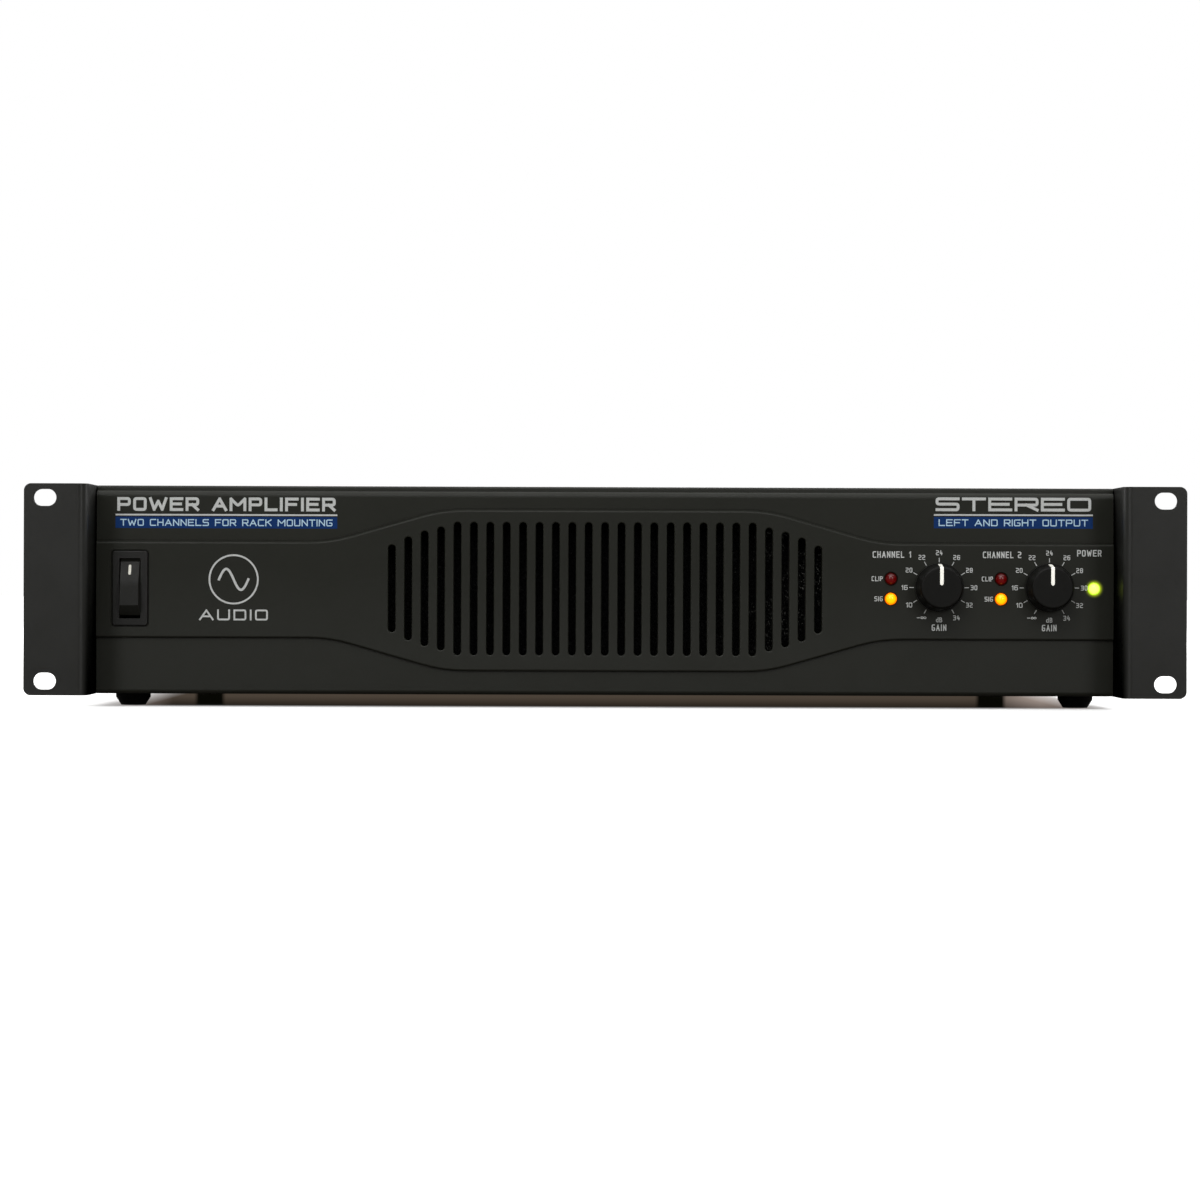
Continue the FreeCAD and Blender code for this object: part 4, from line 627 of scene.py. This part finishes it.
def piece(name, bm, material, body):
    """Turns mesh code into a named piece that rides on a body."""
    bmesh.ops.recalc_face_normals(bm, faces=bm.faces)
    mesh = bpy.data.meshes.new(name)
    bm.to_mesh(mesh)
    bm.free()
    mesh.materials.append(material)
    made = bpy.data.objects.new(name, mesh)
    bpy.context.scene.collection.objects.link(made)
    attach(made, body)
    return made


# ---------------------------------------------------------------- the front

FASCIA_LOW, FASCIA_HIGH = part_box("front_fascia")
# The raised band stands this far in front of the field round it.
BAND_PROUD = 1.2 * MM
BAND = Sheet(FRONT, FASCIA_LOW.y)
FIELD = Sheet(FRONT, FASCIA_LOW.y + BAND_PROUD)
GAIN = [middle("gain_knob_1"), middle("gain_knob_2")]
LABEL_CAP = 2.75 * MM
SMALL_CAP = 2.05 * MM
BAR_Z = 28.85 * MM
BAR_HEIGHT = 4.8 * MM
RULE_Z = BAR_Z + 3.25 * MM
TITLE_Z = BAR_Z + 7.75 * MM
# The left title is printed a little low and the right one a little high.
TITLE_DROP = (-0.5 * MM, 0.5 * MM)
TITLE_CAP = 5.8 * MM


def led_places(node):
    """Centres of the two lamps of a node, left then right."""
    low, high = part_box(node)
    z = (low.z + high.z) / 2
    flange = (high.z - low.z) / 2
    return [(low.x + flange, z), (high.x - flange, z)]


def titles():
    """Generic titles at the two upper corners, each over a rule and a blue bar with small words."""
    silver, blue, pale = bmesh.new(), bmesh.new(), bmesh.new()
    places = [
        (FASCIA_LOW.x + 7.9 * MM, 93.6 * MM, "POWER AMPLIFIER", "TWO CHANNELS FOR RACK MOUNTING"),
        (FASCIA_HIGH.x - 8.7 * MM - 67.1 * MM, 67.1 * MM, "STEREO", "LEFT AND RIGHT OUTPUT"),
    ]
    over = Sheet(FRONT, FIELD.y - INK)
    for (left, width, title, words), drop in zip(places, TITLE_DROP):
        x = left + width / 2
        write(silver, title, x, TITLE_Z + drop, TITLE_CAP, width - 1.4 * MM, FIELD, weight=0.21)
        slab(silver, rectangle(x, RULE_Z + drop, width, 0.7 * MM), FIELD)
        slab(blue, rectangle(x, BAR_Z + drop, width, BAR_HEIGHT), FIELD)
        write(pale, words, x, BAR_Z + drop, 2.9 * MM, width - 4 * MM, over)
    piece("title_print", silver, SILVER_INK, "case")
    piece("title_bars", blue, BLUE_INK, "case")
    piece("title_words", pale, PALE_INK, "case")


def emblem():
    """A plain ring with one wave in it, over a plain word."""
    bm = bmesh.new()
    x, z = 0.73 * FASCIA_LOW.x, 4.4 * MM
    radius, wave = 10.2 * MM, 6.2 * MM
    stroke(bm, ring_points(x, z, radius, 96), 0.75 * MM, BAND, closed=True)
    steps = [k / 48 for k in range(49)]
    curve = [(x + wave * (2 * t - 1), z + 4.4 * MM * math.sin(2 * math.pi * t)) for t in steps]
    stroke(bm, curve, 1.0 * MM, BAND)
    write(bm, "AUDIO", x, -10.6 * MM, 4.6 * MM, 29 * MM, BAND, gap=0.32)
    piece("emblem_print", bm, SILVER_INK, "case")


def gain_scale(bm, axis):
    """Ticks every 30 degrees round a gain knob, with the gain in decibels beside each."""
    gains = ("-∞", "10", "16", "20", "22", "24", "26", "28", "30", "32", "34")
    tick_in, tick_out, reach = 10.9 * MM, 12.4 * MM, 14.7 * MM
    for k, words in enumerate(gains):
        turn = math.radians(-150 + 30 * k)
        dx, dz = math.sin(turn), math.cos(turn)
        stroke(bm, [(axis.x + r * dx, axis.z + r * dz) for r in (tick_in, tick_out)], 0.32 * MM, BAND)
        wide = 4.0 * MM if k == 0 else 2.8 * MM
        write(bm, words, axis.x + reach * dx, axis.z + reach * dz, SMALL_CAP, wide, BAND)
    write(bm, "dB", axis.x, axis.z - 13.6 * MM, SMALL_CAP, 2.6 * MM, BAND)
    write(bm, "GAIN", axis.x, axis.z - 16.9 * MM, LABEL_CAP, 6.2 * MM, BAND)


def labels():
    """Words beside the controls and lamps."""
    bm = bmesh.new()
    clips, signals = led_places("clip_leds"), led_places("signal_leds")
    for k, axis in enumerate(GAIN):
        gain_scale(bm, axis)
        heading = f"CHANNEL {k + 1}"
        write(bm, heading, axis.x - 20.0 * MM, axis.z + 13.9 * MM, LABEL_CAP, 16.2 * MM, BAND)
        for (x, z), words, wide in ((clips[k], "CLIP", 4.7 * MM), (signals[k], "SIG", 3.5 * MM)):
            write(bm, words, x - 3.5 * MM - wide / 2, z, SMALL_CAP, wide, BAND)
    lamp_centre = middle("power_led")
    x, z = lamp_centre.x - 2.1 * MM, lamp_centre.z + 15.0 * MM
    write(bm, "POWER", x, z, LABEL_CAP, 10.3 * MM, BAND)
    piece("control_print", bm, SILVER_INK, "case")


KNOB_FACE_INSET = 1.45 * MM
KNOB_ROUND = 0.9 * MM
KNOB_SKIRT = 2.2 * MM
KNOB_LEAN = 0.35 * MM
POINTER_WIDTH = 1.5 * MM


def pointer_path(low, high):
    """(radius, y, outward normal) from the middle of a knob's face, round its rim and down to its skirt."""
    base = (high.x - low.x) / 2
    face = base - KNOB_FACE_INSET
    foot_y = high.y - KNOB_SKIRT
    reaches = (1.0 * MM, 1.2 * MM, 1.5 * MM, 1.9 * MM, 4 * MM, face - KNOB_ROUND)
    path = [(r, low.y, (0.0, -1.0)) for r in reaches]
    for k in range(1, 7):
        a = math.radians(15 * k)
        centre_r, centre_y = face - KNOB_ROUND, low.y + KNOB_ROUND
        normal = (math.sin(a), -math.cos(a))
        path.append((centre_r + KNOB_ROUND * normal[0], centre_y + KNOB_ROUND * normal[1], normal))
    path.append((base - KNOB_LEAN, foot_y, (1.0, 0.0)))
    return path


def knob_pointer(name, node, body):
    """The white line moulded into a knob, from near its middle, over the rim and down its side."""
    low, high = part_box(node)
    axis = (low + high) / 2
    path = pointer_path(low, high)
    start, half = path[0][0], POINTER_WIDTH / 2
    bm = bmesh.new()
    across = [-1.0, -0.85, -0.4, 0.0, 0.4, 0.85, 1.0]
    rows = []
    for r, y, (nr, ny) in path:
        into = max(0.0, half - (r - start))
        spread = math.sqrt(max(half * half - into * into, (0.25 * half) ** 2))
        top, under = [], []
        for share in across:
            lift = 0.10 * MM * (1 - 0.5 * share**4)
            for side, out in ((top, lift), (under, -0.5 * MM)):
                side.append(bm.verts.new((axis.x + share * spread, y + ny * out, axis.z + r + nr * out)))
        rows.append((top, under))
    for (top_a, under_a), (top_b, under_b) in zip(rows, rows[1:]):
        for k in range(len(across) - 1):
            bm.faces.new((top_a[k], top_a[k + 1], top_b[k + 1], top_b[k]))
            bm.faces.new((under_a[k + 1], under_a[k], under_b[k], under_b[k + 1]))
        bm.faces.new((top_a[0], top_b[0], under_b[0], under_a[0]))
        bm.faces.new((top_b[-1], top_a[-1], under_a[-1], under_b[-1]))
    for top, under in (rows[0], rows[-1]):
        bm.faces.new(top + under[::-1])
    made = piece(name, bm, POINTER_WHITE, body)
    for face in made.data.polygons:
        face.use_smooth = True


def rounded_bar(width, height):
    """Outline of an upright bar with round ends."""
    steps = 8
    r = width / 2
    rise = height / 2 - r
    points = []
    for start, lift in ((0, rise), (180, -rise)):
        for k in range(steps + 1):
            a = math.radians(start + 180 * k / steps)
            points.append((r * math.cos(a), lift + r * math.sin(a)))
    return points


def rocker_mark():
    """The on mark, a short white bar that follows the tilt of the rocker's upper flat."""
    rocker = frame["nodes"]["power_rocker"]
    low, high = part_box("power_rocker")
    x, z = (low.x + high.x) / 2, high.z - 4.6 * MM
    outline = [(x + dx, z + dz) for dx, dz in rounded_bar(1.1 * MM, 4.3 * MM)]
    bm = bmesh.new()
    rings = []
    for lift in (INK, -2 * INK):
        ring = []
        for px, pz in outline:
            _, hit, _, _ = rocker.ray_cast(Vector((px, low.y - 0.01, pz)), Vector((0, 1, 0)))
            ring.append(bm.verts.new(hit - Vector((0, lift, 0))))
        rings.append(ring)
    top, under = rings
    bm.faces.new(top)
    bm.faces.new(under[::-1])
    for k in range(len(top)):
        j = (k + 1) % len(top)
        bm.faces.new((top[j], top[k], under[k], under[j]))
    piece("rocker_mark", bm, WHITE_MARK, "rocker")


titles()
emblem()
labels()
knob_pointer("gain_pointer_1", "gain_knob_1", "gain_1")
knob_pointer("gain_pointer_2", "gain_knob_2", "gain_2")
rocker_mark()


# ---------------------------------------------------------------- the rear

REAR_WALL = Sheet(REAR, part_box("rear_panel")[1].y)
REAR_CAP = 2.3 * MM
SOCKET_HALF = 13 * MM


def socket_centres(node):
    """(x, z) of the two square-flanged sockets of a node."""
    low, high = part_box(node)
    z = (low.z + high.z) / 2
    return [(low.x + SOCKET_HALF, z), (high.x - SOCKET_HALF, z)]


def rear_words():
    """Generic legends beside the sockets on the rear panel."""
    bm = bmesh.new()
    jacks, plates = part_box("jack_sockets"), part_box("post_plates")
    for node, word in (("xlr_sockets", "INPUT"), ("speaker_sockets", "OUTPUT")):
        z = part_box(node)[1].z + 2.6 * MM
        for k, (x, _) in enumerate(socket_centres(node)):
            write(bm, f"{word} {k + 1}", x, z, REAR_CAP, 12.5 * MM, REAR_WALL)
    mid = (jacks[0].x + jacks[1].x) / 2
    write(bm, "LINE LEVEL", mid, jacks[0].z - 4.4 * MM, REAR_CAP, 19 * MM, REAR_WALL)
    for k, node in enumerate(("post_cap_red_1", "post_cap_black_1", "post_cap_red_2", "post_cap_black_2")):
        x = middle(node).x
        z = plates[0].z - 2.6 * MM
        arm = 1.3 * MM
        slab(bm, rectangle(x, z, 2 * arm, 0.5 * MM), REAR_WALL)
        if k % 2 == 0:
            for s in (-1, 1):
                slab(bm, rectangle(x, z + s * 0.78 * MM, 0.5 * MM, 1.04 * MM), REAR_WALL)
    mid = (plates[0].x + plates[1].x) / 2
    write(bm, "SPEAKERS", mid, plates[0].z - 7.4 * MM, REAR_CAP, 17 * MM, REAR_WALL)
    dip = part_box("dip_switch_body")
    for k in range(4):
        x = middle(f"dip_slider_{k + 1}").x
        write(bm, str(k + 1), x, dip[1].z + 2.0 * MM, 1.7 * MM, 1.1 * MM, REAR_WALL)
    write(bm, "MODE", middle("dip_switch_body").x, dip[0].z - 2.6 * MM, REAR_CAP, 7.5 * MM, REAR_WALL)
    button = middle("breaker_button")
    write(bm, "RESET", button.x, button.z - 12.5 * MM, REAR_CAP, 9.5 * MM, REAR_WALL)
    grip = middle("cord_grip")
    write(bm, "MAINS", grip.x, grip.z + 14.5 * MM, REAR_CAP, 10 * MM, REAR_WALL)
    piece("rear_print", bm, SILVER_INK, "case")


def tube(bm, x, z, y_low, y_high):
    """A short round tube along Y."""
    outer = 1.22 * MM
    inner = 0.85 * MM
    count = 24
    rings = []
    for radius, y in ((outer, y_low), (outer, y_high), (inner, y_high), (inner, y_low)):
        rings.append([bm.verts.new((px, y, pz)) for px, pz in ring_points(x, z, radius, count)])
    for a, b in zip(rings, rings[1:] + rings[:1]):
        for k in range(count):
            j = (k + 1) % count
            bm.faces.new((a[k], a[j], b[j], b[k]))


def contact_sleeves():
    """Gilt sleeves just inside the three holes of each input."""
    bm = bmesh.new()
    mouth = REAR_WALL.y + 0.4 * MM
    for x, z in socket_centres("xlr_sockets"):
        for degrees in (30, 150, 270):
            a = math.radians(degrees)
            tube(bm, x + 3.9 * MM * math.cos(a), z + 3.9 * MM * math.sin(a), mouth - 6 * MM, mouth)
    piece("input_contacts", bm, FINISHES["gold_contact"], "case")


rear_words()
contact_sleeves()


# ---------------------------------------------------------------- floor, light and camera

CAMERA_DISTANCE = 1.502
CAMERA_RIGHT = -0.0098
CAMERA_HEIGHT = 0.002
LENS = 108.5
# Shifts are shares of the picture's width.
SHIFT_RIGHT = 0.01525
SHIFT_UP = -0.0115
ROLL = math.radians(-0.19)
FLOOR_RADIUS = 14.0
FLOOR_GLOW = 0.55
# Painted shade on the floor under the case, as glow: at its front, at its back, and at its two sides.
PAINTED_SHADE_NEAR = (0.009, 0.0065, 0.004)
PAINTED_SHADE_FAR = (0.070, 0.054, 0.040)
PAINTED_SHADE_SIDE = (0.55, 0.45, 0.40)
# The rear feet's painted reflections, two dark streaks: the feet's place, and half the streaks' width as a
# slope from the camera.
REAR_FOOT = (0.202, 0.370)
REAR_FOOT_SPREAD = 0.0038
STREAK_EDGE = 0.0006
FOOT_REFLECTION_GLOW = (0.002, 0.002, 0.001)
# The shade under the case stops this far inside the case's sides and ends, and fades over EDGE_SOFT each way.
SHADE_SIDE_INSET = 0.0045
SHADE_END_INSET = 0.036
EDGE_SOFT = 0.0135


def floor():
    """A wide pale disc under the feet. It looks white but throws little light back at the case."""
    bm = bmesh.new()
    bmesh.ops.create_circle(bm, cap_ends=True, radius=FLOOR_RADIUS, segments=96)
    mesh = bpy.data.meshes.new("floor")
    bm.to_mesh(mesh)
    bm.free()
    mesh.materials.append(floor_paint())
    made = bpy.data.objects.new("floor", mesh)
    made.location.z = cad_box[0].z
    bpy.context.scene.collection.objects.link(made)


def floor_paint():
    """White paint that glows a little and fades to pure white far away.

    Under the case it carries painted shade, paler toward the back and toward the feet, with the rear feet's
    painted reflections as two darker streaks that run away from the camera.
    """
    s = Shader("floor")
    where = s.node("SeparateXYZ", {"Vector": s.place})
    haze = s.noise(0.05, 3.0)
    tone = s.mix(s.span(haze, 0.3, 0.7), (0.80, 0.80, 0.795), (0.84, 0.84, 0.835))
    rear_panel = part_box("rear_panel")[1]
    middle_y = rear_panel.y / 2
    along = s.math("ABSOLUTE", s.math("SUBTRACT", where.outputs["Y"], middle_y))
    out_x = s.math("SUBTRACT", s.math("ABSOLUTE", where.outputs["X"]), rear_panel.x - SHADE_SIDE_INSET)
    out_y = s.math("SUBTRACT", along, middle_y - SHADE_END_INSET)
    out = s.math("MAXIMUM", out_x, out_y)
    clear = s.span(out, -EDGE_SOFT, EDGE_SOFT)
    far = s.span(out, 0.3, 1.2)
    bearing = s.math("DIVIDE", s.math("SUBTRACT", where.outputs["X"], CAMERA_RIGHT),
                     s.math("ADD", where.outputs["Y"], CAMERA_DISTANCE))
    side = s.math("MULTIPLY", s.span(s.math("ABSOLUTE", bearing), 0.113, 0.127),
                  s.span(where.outputs["Y"], 0.0, 0.18, 0.1, 0.7))
    foot_x, foot_y = REAR_FOOT
    slopes = [(x - CAMERA_RIGHT) / (foot_y + CAMERA_DISTANCE) for x in (-foot_x, foot_x)]
    off_feet = [s.math("ABSOLUTE", s.math("SUBTRACT", bearing, slope)) for slope in slopes]
    off_foot = s.math("MINIMUM", *off_feet)
    off_streak = s.span(off_foot, REAR_FOOT_SPREAD - STREAK_EDGE, REAR_FOOT_SPREAD + STREAK_EDGE)
    # Painted shade under the case, paler toward the back and toward the feet.
    under = s.mix(s.span(where.outputs["Y"], 0.02, 0.17), PAINTED_SHADE_NEAR, PAINTED_SHADE_FAR)
    under = s.mix(side, under, PAINTED_SHADE_SIDE)
    # Painted reflections of the rear feet: two dark streaks.
    under = s.mix(off_streak, FOOT_REFLECTION_GLOW, under)
    glow = s.mix(clear, under, (FLOOR_GLOW, FLOOR_GLOW, FLOOR_GLOW))
    # Painted shade: the floor's own colour is darker under the case.
    tone = s.mix(clear, (0.03, 0.026, 0.022), tone)
    glow = s.mix(far, glow, (1.0, 1.0, 1.0))
    seen = s.node("BsdfPrincipled", {"Base Color": tone, "Roughness": 0.6, "Specular IOR Level": 0.1,
                                     "Emission Color": glow, "Emission Strength": 1.0})
    unseen = s.node("BsdfDiffuse", {"Color": (0.13, 0.12, 0.11)})
    rays = s.node("LightPath")
    mixed = s.node("MixShader", {0: rays.outputs["Is Camera Ray"]})
    s.tree.links.new(unseen.outputs[0], mixed.inputs[1])
    s.tree.links.new(seen.outputs[0], mixed.inputs[2])
    output = s.node("OutputMaterial")
    s.tree.links.new(mixed.outputs[0], output.inputs["Surface"])
    return s.material


def softbox(name, place, target, width, height, power):
    """A white rectangular lamp at a place, turned to a target, with its power in watts."""
    lamp_data = bpy.data.lights.new(name, "AREA")
    lamp_data.shape = "RECTANGLE"
    lamp_data.size = width
    lamp_data.size_y = height
    lamp_data.energy = power
    made = bpy.data.objects.new(name, lamp_data)
    made.location = place
    made.rotation_mode = "QUATERNION"
    made.rotation_quaternion = (Vector(target) - Vector(place)).to_track_quat("-Z", "Y")
    bpy.context.scene.collection.objects.link(made)


def sky():
    """White to the camera, a soft grey to everything else."""
    world = bpy.data.worlds.new("studio")
    bpy.context.scene.world = world
    world.use_nodes = True
    tree = world.node_tree
    tree.nodes.clear()
    rays = tree.nodes.new("ShaderNodeLightPath")
    seen = tree.nodes.new("ShaderNodeBackground")
    seen.inputs["Color"].default_value = (1, 1, 1, 1)
    around = tree.nodes.new("ShaderNodeBackground")
    around.inputs["Color"].default_value = (1, 1, 1, 1)
    around.inputs["Strength"].default_value = 0.20
    mixed = tree.nodes.new("ShaderNodeMixShader")
    output = tree.nodes.new("ShaderNodeOutputWorld")
    tree.links.new(rays.outputs["Is Camera Ray"], mixed.inputs[0])
    tree.links.new(around.outputs[0], mixed.inputs[1])
    tree.links.new(seen.outputs[0], mixed.inputs[2])
    tree.links.new(mixed.outputs[0], output.inputs["Surface"])


def sun():
    """A very soft light from above that reaches the whole floor evenly."""
    light = bpy.data.lights.new("overhead", "SUN")
    light.energy = 2.0
    light.angle = math.radians(100)
    made = bpy.data.objects.new("overhead", light)
    made.rotation_euler = (math.radians(-18), 0, 0)
    bpy.context.scene.collection.objects.link(made)


def camera():
    """A long lens, level, a little left of the middle of the front."""
    data = bpy.data.cameras.new("camera")
    data.lens = LENS
    data.shift_x = SHIFT_RIGHT
    data.shift_y = SHIFT_UP
    data.clip_start = 0.05
    data.clip_end = 60
    made = bpy.data.objects.new("camera", data)
    made.location = (CAMERA_RIGHT, -CAMERA_DISTANCE, CAMERA_HEIGHT)
    made.rotation_euler = (math.radians(90), ROLL, 0)
    bpy.context.scene.collection.objects.link(made)
    bpy.context.scene.camera = made


floor()
sky()
sun()
softbox("key", (-0.3, -1.5, 1.7), (0, 0.05, 0), 1.8, 1.0, 16)
for side in (-1, 1):
    softbox("front", (1.2 * side, -2.4, 0.8), (0, 0.05, 0), 0.6, 1.4, 10)
    softbox("side", (2.4 * side, 1.0, 0.9), (0, 0.2, 0), 1.6, 1.2, 25)
softbox("rear", (0.6, 2.6, 1.2), (0, 0.4, 0), 2.0, 1.2, 40)
camera()
bpy.context.scene.view_settings.view_transform = "Standard"
